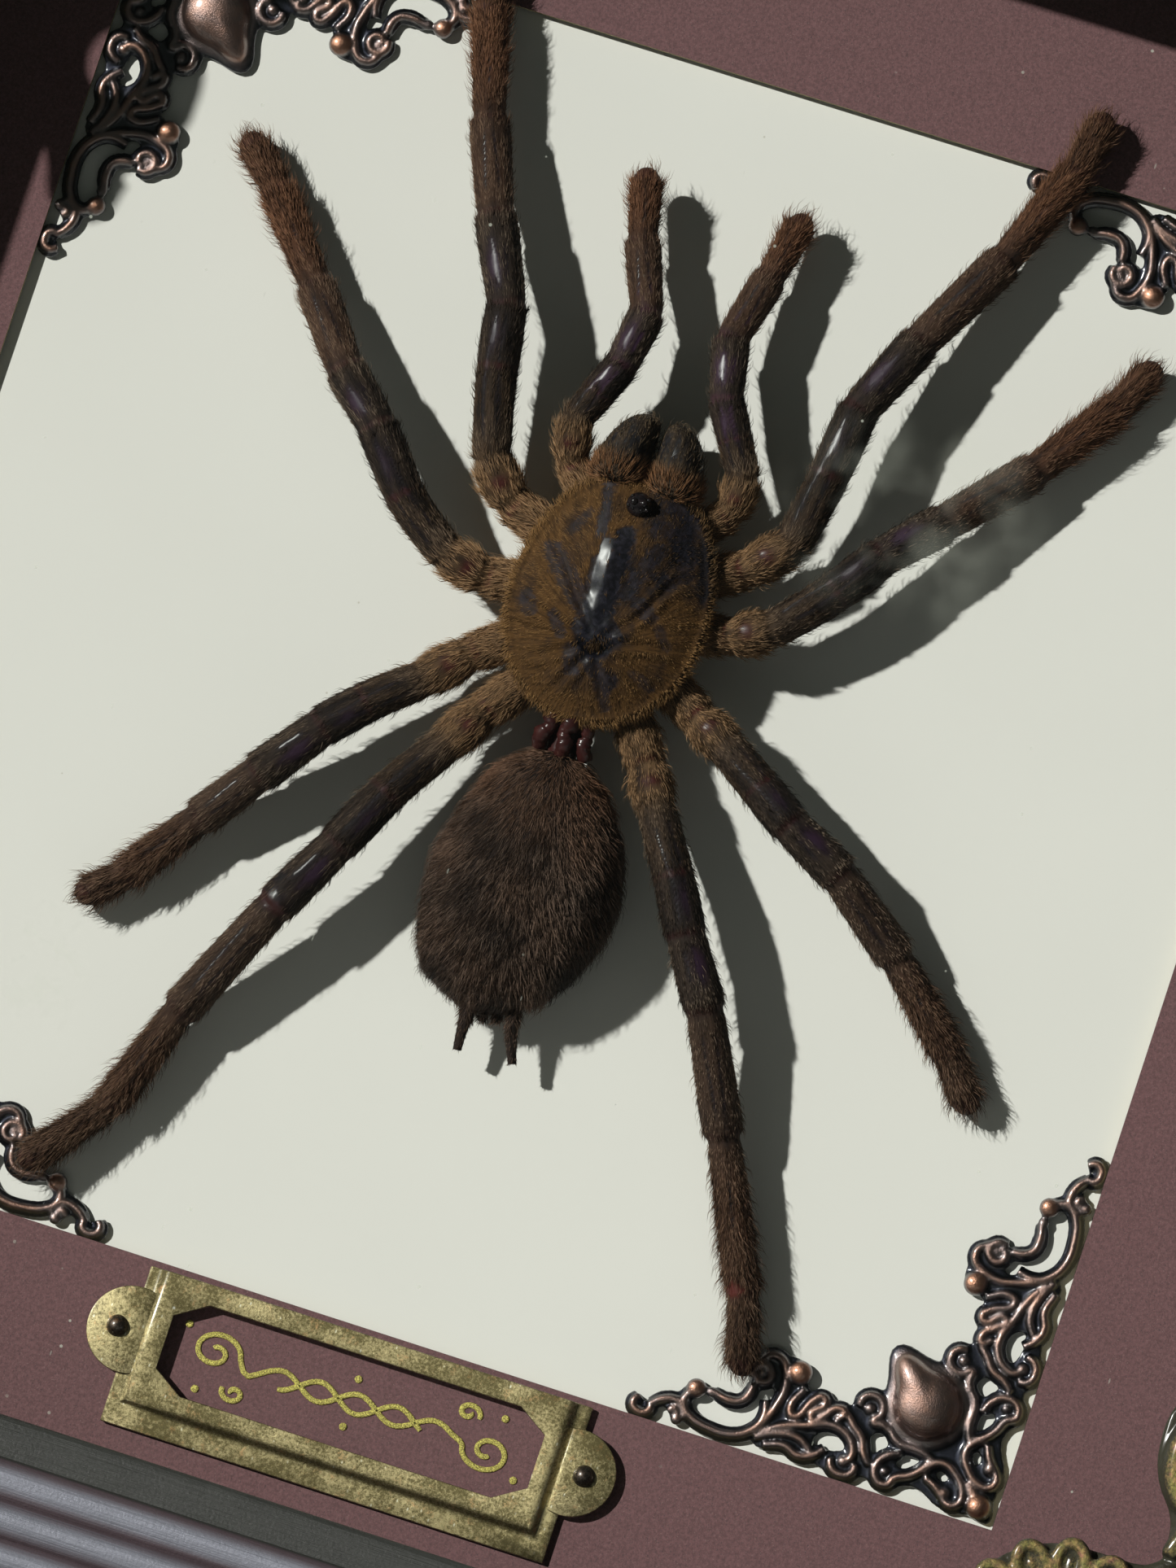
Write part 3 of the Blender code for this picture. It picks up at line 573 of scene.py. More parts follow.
def wire_curve(name, wires, radius, w, cyclic=False, smooth=8):
    """Draw wires as round curves at one height, and turn them into a mesh."""
    bpy.ops.curve.primitive_bezier_curve_add(location=(0.0, 0.0, 0.0))
    drawn = bpy.context.object
    drawn.name = name
    curve = drawn.data
    curve.splines.clear()
    curve.dimensions = "3D"
    curve.bevel_depth = 1.0
    curve.bevel_resolution = 3
    curve.resolution_u = smooth
    curve.use_fill_caps = True
    for wire in wires:
        spline = curve.splines.new("BEZIER")
        spline.use_cyclic_u = cyclic
        spline.bezier_points.add(len(wire) - 1)
        for index, (knot, place) in enumerate(zip(spline.bezier_points, wire)):
            knot.co = place[:3] if len(place) > 2 else (*place, w)
            fade = 0.8 if not cyclic and index in (0, len(wire) - 1) else 1.0
            knot.radius = radius * (place[3] if len(place) == 4 else fade)
            knot.handle_left_type = knot.handle_right_type = "AUTO"
    alone(drawn)
    bpy.ops.object.convert(target="MESH")
    return bpy.context.object


def flattened(piece, w, share):
    """Press a piece flat towards the height w."""
    places = points_of(piece)
    places[:, 2] = w + (places[:, 2] - w) * share
    put_points(piece, places)
    return piece


def bead(u, v, w, radius, share=1.0):
    """A small ball, its height scaled by share."""
    bpy.ops.mesh.primitive_uv_sphere_add(segments=20, ring_count=12, radius=radius,
                                         location=(u, v, w))
    ball = bpy.context.object
    ball.scale = (1.0, 1.0, share)
    bpy.ops.object.transform_apply(location=True, rotation=False, scale=True)
    return ball


def cut_plate(name, outline, holes, low, high, smooth=4):
    """A flat plate cut to an outline, with oval holes (middle, half sizes, turn)."""
    bpy.ops.curve.primitive_bezier_curve_add(location=(0.0, 0.0, (low + high) / 2))
    drawn = bpy.context.object
    drawn.name = name
    curve = drawn.data
    curve.splines.clear()
    curve.dimensions = "2D"
    curve.fill_mode = "BOTH"
    curve.extrude = (high - low) / 2
    curve.resolution_u = smooth
    loops = [outline]
    for (u, v), (half_a, half_b), tilt in holes:
        ring = [(half_a * math.cos(a), half_b * math.sin(a)) for a in TEN_TURNS]
        loops.append([(u + a * math.cos(tilt) - b * math.sin(tilt),
                       v + a * math.sin(tilt) + b * math.cos(tilt)) for a, b in ring])
    for loop in loops:
        spline = curve.splines.new("BEZIER")
        spline.use_cyclic_u = True
        spline.bezier_points.add(len(loop) - 1)
        for knot, (u, v) in zip(spline.bezier_points, loop):
            knot.co = (u, v, 0.0)
            knot.handle_left_type = knot.handle_right_type = "AUTO"
    alone(drawn)
    bpy.ops.object.convert(target="MESH")
    plate = bpy.context.object
    bpy.ops.object.mode_set(mode="EDIT")
    bpy.ops.mesh.select_all(action="SELECT")
    bpy.ops.mesh.remove_doubles(threshold=0.001)
    bpy.ops.mesh.normals_make_consistent(inside=False)
    bpy.ops.object.mode_set(mode="OBJECT")
    return plate


# %% The teardrop boss
BOSS = (53.2, -53.2)
BOSS_POINTS_TO = 0.75 * math.pi


def drop(middle, radius, point, low, high, roundness):
    """A ball whose outline is drawn out to a point, its lower half cut flat a little below low."""
    bpy.ops.mesh.primitive_uv_sphere_add(segments=64, ring_count=32, radius=1.0)
    ball = bpy.context.object
    places = points_of(ball)
    angle = np.arctan2(places[:, 1], places[:, 0])
    away = np.abs((angle - BOSS_POINTS_TO + math.pi) % math.tau - math.pi)
    reach = radius * (1.0 + point * np.exp(-(away / roundness) ** 2))
    places[:, 0] = middle[0] + places[:, 0] * reach
    places[:, 1] = middle[1] + places[:, 1] * reach
    places[:, 2] = low + (high - low) * np.maximum(places[:, 2], -0.3)
    put_points(ball, places)
    return ball


# %% Fusing one filigree corner
FUSE = 0.16
wires = list(WIRES) + [over_diagonal(wire) for wire in WIRES]
mirrored_beads = [(-v, -u, r) for u, v, r in BEADS[:-4] + BEADS[-3:]]
parts = [wire_curve("ridges", wires, 0.40, 0.78),
         flattened(wire_curve("bands", wires, 0.86, 0.42), 0.42, 0.42)]
outline = list(SHEET) + over_diagonal(SHEET[-1:0:-1])
holes = list(SHEET_HOLES) + [((-v, -u), half, QUARTER - tilt) for (u, v), half, tilt in SHEET_HOLES]
parts.append(cut_plate("sheet", outline, holes, 0.30, 0.60))
parts += [bead(u, v, 0.62, radius, 0.85) for u, v, radius in list(BEADS) + mirrored_beads]
parts.append(drop(BOSS, 4.35, 0.50, 0.45, 1.50, 0.35))
parts.append(drop(BOSS, 3.25, 0.66, 0.90, 2.75, 0.36))
filigree = joined(parts)
shaped(filigree, "REMESH", mode="VOXEL", voxel_size=FUSE)
shaped(filigree, "SMOOTH", factor=0.5, iterations=3)
shaped(filigree, "DECIMATE", ratio=0.5)
bpy.ops.object.shade_smooth()
mark(filigree, height=points_of(filigree)[:, 2])
print("filigree fused:", len(filigree.data.vertices), "points")

# %% [markdown]
# The stampings were blackened and then rubbed, so metal shines copper on the ridges and stays
# blue-black in the recesses. Height above the card decides which, roughened by a little noise.
# The tall boss kept a darker, steely skin, so a soft round mask takes most of its copper away.

# %% Copper
copper = Finish("blackened_copper", (0.10, 0.06, 0.055), 0.4, 1.0, Coat_Weight=1.0,
                Coat_Roughness=0.14, Coat_IOR=1.65)
height = copper.marked("height")
cloud = copper.noise(0.9, 4.0)
fine = copper.noise(6.0, 3.0, 0.7)
rubbed = (height + 0.30 * (cloud - 0.5)).between(0.70, 1.10)
worn = (height + 0.5 * (copper.noise(0.35, 3.0) - 0.5) + 0.2 * (fine - 0.5)).between(0.92, 1.42)
from_middle = [copper.axis(0).math("ABSOLUTE"), (copper.axis(2) - CARD_MIDDLE / MM).math("ABSOLUTE")]
on_boss = blot(*from_middle, (BOSS[0], -BOSS[1]), (7.5, 7.5)).between(0.4, 0.7)
worn = worn * (1.0 - 0.80 * on_boss * (1.3 - cloud))
steel = copper.mix(rubbed, (0.020, 0.021, 0.030), (0.19, 0.150, 0.150))
copper.done(Base_Color=copper.mix(worn * 0.75, steel, (0.46, 0.22, 0.13)),
            Roughness=0.26 + 0.14 * cloud + 0.12 * fine,
            Normal=copper.bump(fine, 0.05))
stampings = [filigree] + [copied(filigree, QUARTER * step) for step in (1, 2, 3)]
for piece, name in zip(stampings, CORNERS[-1:] + CORNERS[:-1]):
    mounted(piece, f"filigree_corner_{name}", copper.material, "copper_stamping", f"filigree_{name}")

# %% [markdown]
# ## The label holder
# Such a holder is pressed from one sheet: a flat frame round an eight-sided opening, rounded down
# at both sides and at the bottom to a flange with two ears, and left open at the top for the
# card. A ring of eight points makes the opening, one extrusion of it gives the flat face, and the
# three outer edges are extruded outwards and down step by step, along a rounded slope. Solidify
# gives the sheet its thickness. The ears are half discs, and the brads are domed heads.

# %% Pressing the sheet
LEFT, RIGHT, BOTTOM, TOP = -18.2, 20.6, -75.2, -63.1
OPENING_U, OPENING_V = (-17.2, 19.8), (-74.1, -65.1)
CHAMFER_U, CHAMFER_V = 3.0, 1.9
FLANGE_EDGES = (-20.75, 23.3, -78.5)
FACE_W, FLANGE_W, SHEET_THICK = 2.5, 1.75, 0.40
EAR_V, EAR_RADIUS = -69.5, 4.2
SLOPE = ((0.27, -0.005), (0.25, -0.02), (0.23, -0.05), (0.22, -0.11), (0.18, -0.19), (0.18, -0.19),
         (0.22, -0.11), (0.23, -0.05), (0.25, -0.015), (0.27, -0.005))


def in_edit(piece, select_mode):
    """Open a piece in edit mode with all of it selected."""
    alone(piece)
    bpy.ops.object.mode_set(mode="EDIT")
    bpy.ops.mesh.select_mode(type=select_mode)
    bpy.ops.mesh.select_all(action="SELECT")


def pick(piece, kind, test):
    """Select the edges or points that pass a test, and go back to edit mode."""
    bpy.ops.mesh.select_all(action="DESELECT")
    bpy.ops.object.mode_set(mode="OBJECT")
    points = piece.data.vertices
    for item in getattr(piece.data, kind):
        ends = [points[i].co for i in item.vertices] if kind == "edges" else [item.co]
        item.select = test(*ends)
    bpy.ops.object.mode_set(mode="EDIT")


columns = (OPENING_U[0], OPENING_U[0] + CHAMFER_U, OPENING_U[1] - CHAMFER_U, OPENING_U[1])
rows = (OPENING_V[0], OPENING_V[0] + CHAMFER_V, OPENING_V[1] - CHAMFER_V, OPENING_V[1])
inner = [(columns[1], rows[3]), (columns[0], rows[2]), (columns[0], rows[1]), (columns[1], rows[0]),
         (columns[2], rows[0]), (columns[3], rows[1]), (columns[3], rows[2]), (columns[2], rows[3])]
outer = [(columns[1], TOP), (LEFT, TOP), (LEFT, BOTTOM), (columns[1], BOTTOM),
         (columns[2], BOTTOM), (RIGHT, BOTTOM), (RIGHT, TOP), (columns[2], TOP)]
alone()
bpy.ops.mesh.primitive_circle_add(vertices=8, fill_type="NOTHING")
holder = bpy.context.object
put_points(holder, [(u, v, FACE_W) for u, v in inner])
in_edit(holder, "EDGE")
bpy.ops.mesh.extrude_edges_move()
bpy.ops.object.mode_set(mode="OBJECT")
for point in holder.data.vertices:
    if point.select:
        nearest = min(range(8), key=lambda k: math.dist(inner[k], point.co[:2]))
        point.co.x, point.co.y = outer[nearest]
low, left, right = BOTTOM, LEFT, RIGHT
for out, down in SLOPE + ((None, 0.0),):
    in_edit(holder, "EDGE")
    pick(holder, "edges", lambda a, b: all(
        co.x < left + 0.01 or co.x > right - 0.01 or co.y < low + 0.01 for co in (a, b))
        and not (abs(a.y - TOP) < 0.01 and abs(b.y - TOP) < 0.01))
    bpy.ops.mesh.extrude_edges_move()
    bpy.ops.object.mode_set(mode="OBJECT")
    new_left, new_right, new_low = ((left - out, right + 0.9 * out, low - 0.8 * out) if out
                                    else FLANGE_EDGES)
    for point in holder.data.vertices:
        if point.select:
            point.co.z += down
            point.co.x = (new_left if point.co.x < left + 0.01 else
                          new_right if point.co.x > right - 0.01 else point.co.x)
            point.co.y = new_low if point.co.y < low + 0.01 else point.co.y
    left, right, low = new_left, new_right, new_low
print("flange at", round(left, 2), round(right, 2), round(low, 2))

# %% Ears, thickness and softened edges
ears = []
for ear_u, cut in ((-20.7, 1.6), (23.3, -1.2)):
    bpy.ops.mesh.primitive_circle_add(vertices=64, radius=EAR_RADIUS, fill_type="NGON",
                                      location=(ear_u, EAR_V, FLANGE_W - 0.05))
    ear = bpy.context.object
    bpy.ops.object.transform_apply(location=True, rotation=False, scale=False)
    in_edit(ear, "FACE")
    bpy.ops.mesh.bisect(plane_co=(ear_u + cut, 0.0, 0.0), plane_no=(math.copysign(1.0, cut), 0.0, 0.0),
                        clear_outer=True, use_fill=False)
    bpy.ops.object.mode_set(mode="OBJECT")
    ears.append(ear)
holder = joined(ears + [holder])
in_edit(holder, "FACE")
bpy.ops.mesh.normals_make_consistent(inside=False)
bpy.ops.object.mode_set(mode="OBJECT")
if sum(face.normal.z * face.area for face in holder.data.polygons) < 0:
    holder.data.flip_normals()
shaped(holder, "SOLIDIFY", thickness=SHEET_THICK, offset=-1.0, use_even_offset=True)
shaped(holder, "BEVEL", width=0.09, segments=2, limit_method="ANGLE", angle_limit=math.radians(60))
bpy.ops.object.shade_smooth_by_angle(angle=math.radians(50))
print("holder sheet:", len(holder.data.polygons), "faces")

# %% [markdown]
# Aged brass is olive with a fine pitted speckle, rubbed brighter in patches, rusty in others, and
# crossed by pale scuffs. The speckle drives colour, gloss and a shallow relief. The brads take the
# same recipe in near black, as domed heads pressed from a ball.


# %% Aged brass and dark brads
def brass(name, dull, bright, pit, coat_weight):
    """Speckled metal between two tones, with pits so many millimetres deep."""
    finish = Finish(name, dull, 0.5, 1.0, Coat_Weight=coat_weight, Coat_Roughness=0.24, Coat_IOR=1.6)
    speckle = finish.noise(3.4, 5.0, 0.8)
    patch = finish.noise(0.30, 5.0, 0.65)
    rusty = finish.noise(0.9, 3.0).between(0.56, 0.68) * speckle.between(0.45, 0.6)
    shine = (speckle + 0.7 * (patch - 0.5)).between(0.36, 0.66)
    metal = finish.mix(rusty * 0.6, finish.mix(shine, dull, bright), (0.42, 0.20, 0.08))
    scuffs = finish.specks(1.5, 0.15, (1.0, 1.0, 0.5)) * patch.between(0.42, 0.55)
    finish.done(Base_Color=finish.mix(scuffs * 0.6, metal, (0.80, 0.78, 0.62)),
                Roughness=0.50 - 0.16 * shine + 0.10 * patch,
                Normal=finish.bump(speckle, pit))
    return finish.material


aged_brass = brass("aged_brass", (0.135, 0.110, 0.048), (0.46, 0.385, 0.205), 0.07, 0.85)
mounted(holder, "brass_label_holder", aged_brass, "aged_brass", "label_holder")
brad_metal = brass("blackened_brad", (0.030, 0.022, 0.018), (0.13, 0.10, 0.08), 0.02, 0.7)
BRAD_RADIUS = 1.1
for side, brad_u in (("left", -22.0), ("right", 24.5)):
    alone()
    bpy.ops.mesh.primitive_uv_sphere_add(segments=32, ring_count=20, radius=BRAD_RADIUS)
    brad = bpy.context.object
    shape = points_of(brad)
    dome = np.where(shape[:, 2] > 0, 1.25, 0.35) * shape[:, 2] / BRAD_RADIUS
    put_points(brad, np.stack([shape[:, 0] + brad_u, shape[:, 1] + EAR_V, FLANGE_W + dome], 1))
    bpy.ops.object.shade_smooth()
    mounted(brad, f"round_brad_{side}", brad_metal, "dark_brad", f"label_brad_{side}")

# %% [markdown]
# The card in the opening carries a pen flourish in gold ink: a waving line that curls in at both
# ends, with a lozenge and dots between. It is a pattern of loops and spells nothing. The ink lies
# on the card as a flat wire a tenth of a millimetre high, with a glittering surface.


# %% Gold pen flourish
def curl(middle, turns, size, start):
    """A spiral that winds inwards."""
    path = []
    for share in (step / 25 for step in range(26)):
        angle = start + turns * math.tau * share
        reach = size * (1.0 - 0.82 * share)
        path.append((middle[0] + reach * math.cos(angle), middle[1] + 0.8 * reach * math.sin(angle)))
    return path


wave = [(x, -69.6 + 0.95 * math.sin(x * 0.82) * (1.0 - 0.02 * abs(x)))
        for x in np.linspace(-9.3, 11.9, 44)]
pen = [curl((-12.4, -69.0), 1.35, 2.5, 0.0)[::-1] + wave[1:-1]
       + curl((15.0, -70.1), 1.35, 2.5, math.pi),
       [(x, -69.6 - 0.95 * math.sin(x * 0.82)) for x in np.linspace(-5.75, 8.35, 34)],
       curl((-9.6, -72.2), 1.1, 1.2, 0.9 * math.pi), curl((12.2, -67.1), 1.1, 1.2, 1.9 * math.pi)]
flourish = flattened(wire_curve("flourish", pen, 0.27, 1.16, smooth=3), 1.16, 0.3)
dots = [flattened(bead(u, v, 1.15, 0.38), 1.15, 0.3)
        for u, v in ((-15.6, -67.2), (-13.2, -72.9), (1.3, -67.3), (1.3, -72.0), (18.2, -71.9),
                     (15.7, -66.6))]
flourish = joined(dots + [flourish])
bpy.ops.object.shade_smooth()
ink = Finish("gold_ink", (0.55, 0.45, 0.10), 0.4, 0.6)
grains = ink.noise(7.0, 3.0, 0.8)
ink.done(Base_Color=ink.mix(grains.between(0.42, 0.6), (0.30, 0.24, 0.07), (0.95, 0.86, 0.22)),
         Roughness=0.25 + 0.4 * grains, Normal=ink.bump(grains, 0.12))
mounted(flourish, "gold_flourish", ink.material, "mauve_card")

# %% [markdown]
# ## The cast corner ornaments
# Over each mitre sits a brass casting: a rosette of cupped petals, a broad lobe on either side and
# an open C-scroll that ends in a leaf. As with the filigree, rounded wires and beads are laid on a
# cut plate and fused. A petal is a small closed loop round a shallow cup, with a vein along it.

# %% Laying out a casting, in the upper right corner
ROSETTE = (72.5, 72.5)
PETALS, PETAL_RING = 14, 7.4
SCROLL_MIDDLE = (83.2, 51.6)
PLATE_LOW, PLATE_HIGH, CAST_TOP = 22.5, 23.7, 25.9
CAST_EDGE = (
    (65.43, 65.43), (70.7, 62.7), (74.0, 62.6), (79.3, 61.6), (79.4, 59.8),
    (79.0, 57.6), (76.9, 54.6), (76.0, 51.5), (76.4, 47.2), (79.2, 43.6), (81.4, 40.0),
    (83.4, 36.2), (86.2, 40.6), (89.6, 47.0), (90.6, 53.5), (88.6, 60.0), (90.4, 65.5),
    (92.2, 72.0), (91.4, 78.0), (94.0, 84.0), (98.2, 91.0), (98.0, 98.0),
)


def swap(points):
    """Mirror over the diagonal through the upper right corner."""
    return [(v, u) for u, v in points]


cast_edge = list(CAST_EDGE) + swap(CAST_EDGE[-2:0:-1])
holes = [(SCROLL_MIDDLE, (2.9, 3.3), 0.0), (SCROLL_MIDDLE[::-1], (3.3, 2.9), 0.0)]
cast = [cut_plate("plate", cast_edge, holes, PLATE_LOW, PLATE_HIGH)]
scroll = [(SCROLL_MIDDLE[0] + 5.3 * math.cos(a), SCROLL_MIDDLE[1] + 5.7 * math.sin(a))
          for a in np.linspace(math.radians(118), math.radians(410), 16)]
thick = [[(80.0, 61.0)] + scroll,
         [(81.3, 41.5), (83.6, 37.6), (85.6, 42.0), (88.0, 46.2), (89.2, 51.0)]]
fine_wires = [[(83.5, 38.5), (83.7, 42.0), (84.6, 45.0)],
              [(89.0, 57.5), (87.0, 61.0), (88.9, 66.5), (90.5, 72.0), (89.6, 77.5)],
              [(85.5, 60.5), (85.0, 65.0), (86.8, 70.0), (87.2, 74.5)],
              [(86.5, 81.0), (91.0, 87.5), (95.8, 92.5)],
              [(82.6, 82.6), (89.0, 89.0), (95.5, 95.5)]]
for group in (thick, fine_wires):
    group += [swap(wire) for wire in group]
cast.append(wire_curve("thick", thick, 1.15, 23.9))
cast.append(wire_curve("fine", fine_wires, 0.55, 24.0))
petals, veins = [], []
for index in range(PETALS):
    aim = math.tau * (index + 0.25) / PETALS
    out, side = Vector((math.cos(aim), math.sin(aim))), Vector((-math.sin(aim), math.cos(aim)))
    middle = Vector(ROSETTE) + out * PETAL_RING
    petals.append([tuple(middle + out * (2.6 * math.cos(a))
                         + side * (1.32 + 0.34 * math.cos(a)) * math.sin(a)) for a in TEN_TURNS])
    veins.append([tuple(middle + out * reach) for reach in (-1.6, 0.0, 1.3)])
    cast.append(flattened(bead(*(middle + out * 0.3), 23.9, 2.1), 23.9, 0.26))
cast.append(wire_curve("petals", petals, 0.60, 24.4, True))
cast.append(wire_curve("veins", veins, 0.30, 24.45))
cast.append(flattened(bead(*ROSETTE, 23.6, 9.0), 23.6, 0.09))
cast.append(flattened(bead(*ROSETTE, 24.4, 3.1), 24.4, 0.45))
cast += [bead(ROSETTE[0] + 3.0 * math.cos(a), ROSETTE[1] + 3.0 * math.sin(a), 24.9, 0.62)
         for a in (math.tau * i / 12 for i in range(12))]
for u, v, r in ((80.6, 63.6, 1.9), (84.2, 63.0, 2.0), (83.2, 57.4, 1.3), (83.4, 37.4, 1.2),
                (87.6, 71.6, 1.5), (88.6, 78.4, 1.6)):
    cast += [bead(u, v, 23.9, r, 0.6), bead(v, u, 23.9, r, 0.6)]
cast.append(bead(96.4, 96.4, 23.9, 1.5, 0.7))
ornament = joined(cast)
shaped(ornament, "REMESH", mode="VOXEL", voxel_size=0.27)
shaped(ornament, "SMOOTH", factor=0.5, iterations=2)
places = points_of(ornament)
places[:, 2] = np.clip(places[:, 2], PLATE_LOW, CAST_TOP)
put_points(ornament, places)
shaped(ornament, "DECIMATE", ratio=0.42)
bpy.ops.object.shade_smooth()
mark(ornament, height=points_of(ornament)[:, 2])
print("casting fused:", len(ornament.data.vertices), "points")

# %% [markdown]
# The castings wear a dark green-brown patina in their hollows and green-gold metal on their rims.
# A rubbed share that grows with height mixes the two, and two more tints warm the metal in spots.

# %% Antique brass
antique = Finish("antique_brass", (0.20, 0.17, 0.07), 0.4, 1.0, Coat_Weight=0.5, Coat_Roughness=0.2)
height = antique.marked("height")
cloud = antique.noise(0.8, 5.0, 0.7)
speckle = antique.noise(3.2, 4.0, 0.8)
rub = (height + 1.2 * (cloud - 0.5) + 1.5 * (speckle - 0.5)).between(24.35, 25.35)
tint = antique.noise(1.3, 3.0)
tone = antique.mix(tint.between(0.35, 0.65), (0.31, 0.28, 0.09), (0.44, 0.30, 0.13))
tone = antique.mix(tint.between(0.60, 0.72), tone, (0.50, 0.24, 0.16))
antique.done(Base_Color=antique.mix(rub, (0.038, 0.036, 0.020), tone),
             Roughness=0.58 - 0.24 * rub + 0.12 * speckle, Metallic=0.55 + 0.45 * rub,
             Normal=antique.bump(speckle, 0.16))
castings = [ornament] + [copied(ornament, QUARTER * step) for step in (1, 2, 3)]
for piece, name in zip(castings, CORNERS):
    mounted(piece, f"cast_corner_{name}", antique.material, "antique_brass", f"corner_ornament_{name}")

# %% [markdown]
# ## The spider's limbs
# A tarantula's limb is a chain of sleeves: each segment widens to its far end, and the next comes
# out of it a little narrower. The segments are drawn as curves of changing thickness through the
# joints, fused into one skin by a voxel remesh, and softened just enough to keep the steps.

# %% Joints of the limbs, from the body out to the tip
LEG_JOINTS = {
    "leg_left_1": (
        (-4.9, 14.0, 3.9), (-10.9, 16.2, 4.9), (-14.0, 19.5, 5.7), (-16.2, 28.2, 6.7),
        (-17.1, 34.0, 6.8), (-21.0, 42.1, 5.6), (-24.6, 50.8, 3.7), (-28.0, 61.2, 3.2),
        (-29.6, 67.0, 3.1)),
    "leg_left_2": (
        (-5.4, 9.7, 3.9), (-11.2, 8.7, 4.8), (-15.1, 9.5, 5.8), (-20.8, 13.8, 6.8),
        (-25.2, 19.2, 7.0), (-29.9, 23.5, 6.0), (-35.4, 30.6, 3.3), (-42.1, 38.6, 2.2),
        (-45.6, 42.0, 2.1)),
    "leg_left_3": (
        (-5.0, 5.2, 3.9), (-10.2, 1.2, 4.8), (-13.4, -2.3, 5.5), (-18.1, -6.3, 6.2),
        (-21.1, -9.6, 6.2), (-25.6, -15.6, 4.8), (-29.7, -21.2, 3.2), (-34.9, -28.5, 2.4),
        (-37.8, -31.2, 2.3)),
    "leg_left_4": (
        (-3.6, 1.2, 3.9), (-7.2, -3.7, 4.8), (-9.4, -7.5, 5.6), (-13.4, -14.0, 6.8),
        (-16.2, -20.0, 7.0), (-20.0, -27.2, 6.4), (-25.7, -39.2, 3.5), (-29.3, -49.7, 2.4),
        (-34.8, -57.0, 3.0)),
    "leg_right_1": (
        (7.1, 14.0, 3.9), (12.4, 16.8, 4.9), (15.9, 20.2, 5.7), (17.2, 27.7, 6.4),
        (17.9, 34.5, 6.2), (21.3, 42.5, 5.0), (26.4, 52.5, 3.5), (30.4, 62.9, 3.2),
        (31.2, 68.0, 3.1)),
    "leg_right_2": (
        (7.6, 9.6, 3.9), (12.9, 10.2, 4.8), (16.4, 11.9, 5.5), (21.3, 17.3, 6.0),
        (24.2, 21.7, 5.8), (28.8, 26.7, 4.7), (35.3, 34.2, 2.9), (41.0, 42.5, 2.2),
        (42.9, 46.6, 2.1)),
    "leg_right_3": (
        (7.3, 5.2, 3.9), (12.6, 1.9, 4.9), (15.8, 0.2, 6.0), (20.4, -2.8, 7.1),
        (24.0, -5.2, 7.5), (29.8, -8.2, 6.6), (37.2, -13.8, 3.5), (44.9, -21.1, 2.2),
        (47.8, -24.8, 2.1)),
    "leg_right_4": (
        (5.8, 1.2, 3.9), (9.3, -3.9, 4.9), (11.3, -7.3, 5.8), (15.2, -13.3, 7.2),
        (17.9, -18.1, 7.5), (21.8, -24.2, 6.6), (27.0, -34.8, 3.7), (33.4, -48.5, 2.5),
        (35.4, -54.8, 3.0)),
}
PALP_JOINTS = {
    "palp_left": (
        (-2.9, 17.6, 3.8), (-6.7, 21.8, 5.0), (-7.5, 25.5, 6.2), (-4.9, 31.8, 6.6),
        (-4.2, 37.3, 5.8), (-6.9, 44.0, 4.7), (-8.4, 49.8, 4.3)),
    "palp_right": (
        (5.1, 17.6, 3.8), (9.4, 21.4, 5.0), (9.6, 24.9, 6.2), (5.6, 31.6, 6.4),
        (4.2, 37.4, 5.3), (5.7, 44.1, 4.0), (6.9, 50.1, 3.2)),
}
SEGMENT_THICKNESS = (1.85, 1.95, 1.98, 1.98, 2.0, 1.92, 1.68, 1.55)
PALP_THICKNESS = (1.55, 1.65, 1.70, 1.75, 1.68, 1.5)
SLEEVE = ((0.0, 0.89), (0.10, 0.95), (0.45, 0.99), (0.82, 1.04), (1.0, 1.0))
SOCKET = ((0.0, 0.84), (0.14, 0.96), (0.50, 1.09), (0.86, 1.02), (1.0, 0.86))
SKIN_VOXEL = 0.27
print("limbs:", ", ".join([*LEG_JOINTS, *PALP_JOINTS]))


def ray_of(joints, first, last):
    """Dense places along a limb's middle line, between two joints."""
    chain = np.array(joints[first:last + 1], float)
    steps = np.linspace(0.0, last - first, 40 * (last - first) + 1)
    return np.stack([np.interp(steps, np.arange(len(chain)), chain[:, k]) for k in range(3)], 1)


def sleeves(joints, thickness, groups):
    """Each segment's places and thicknesses, with the far end slightly closed."""
    drawn = []
    for first, last in groups:
        line = ray_of(joints, first, last)
        far = np.r_[0.0, np.cumsum(np.linalg.norm(np.diff(line, axis=0), axis=1))]
        steps = list(SOCKET if last <= 2 else SLEEVE)
        places = [tuple(np.interp(share * far[-1], far, line[:, k]) for k in range(3))
                  for share, _ in steps]
        heading = Vector(places[-1]) - Vector(places[-2])
        places.append(tuple(Vector(places[-1]) + heading.normalized() * 0.45))
        drawn.append([(place, thickness[first] * factor)
                      for place, (_, factor) in zip(places, steps + [(1.0, 0.62)])])
    return drawn


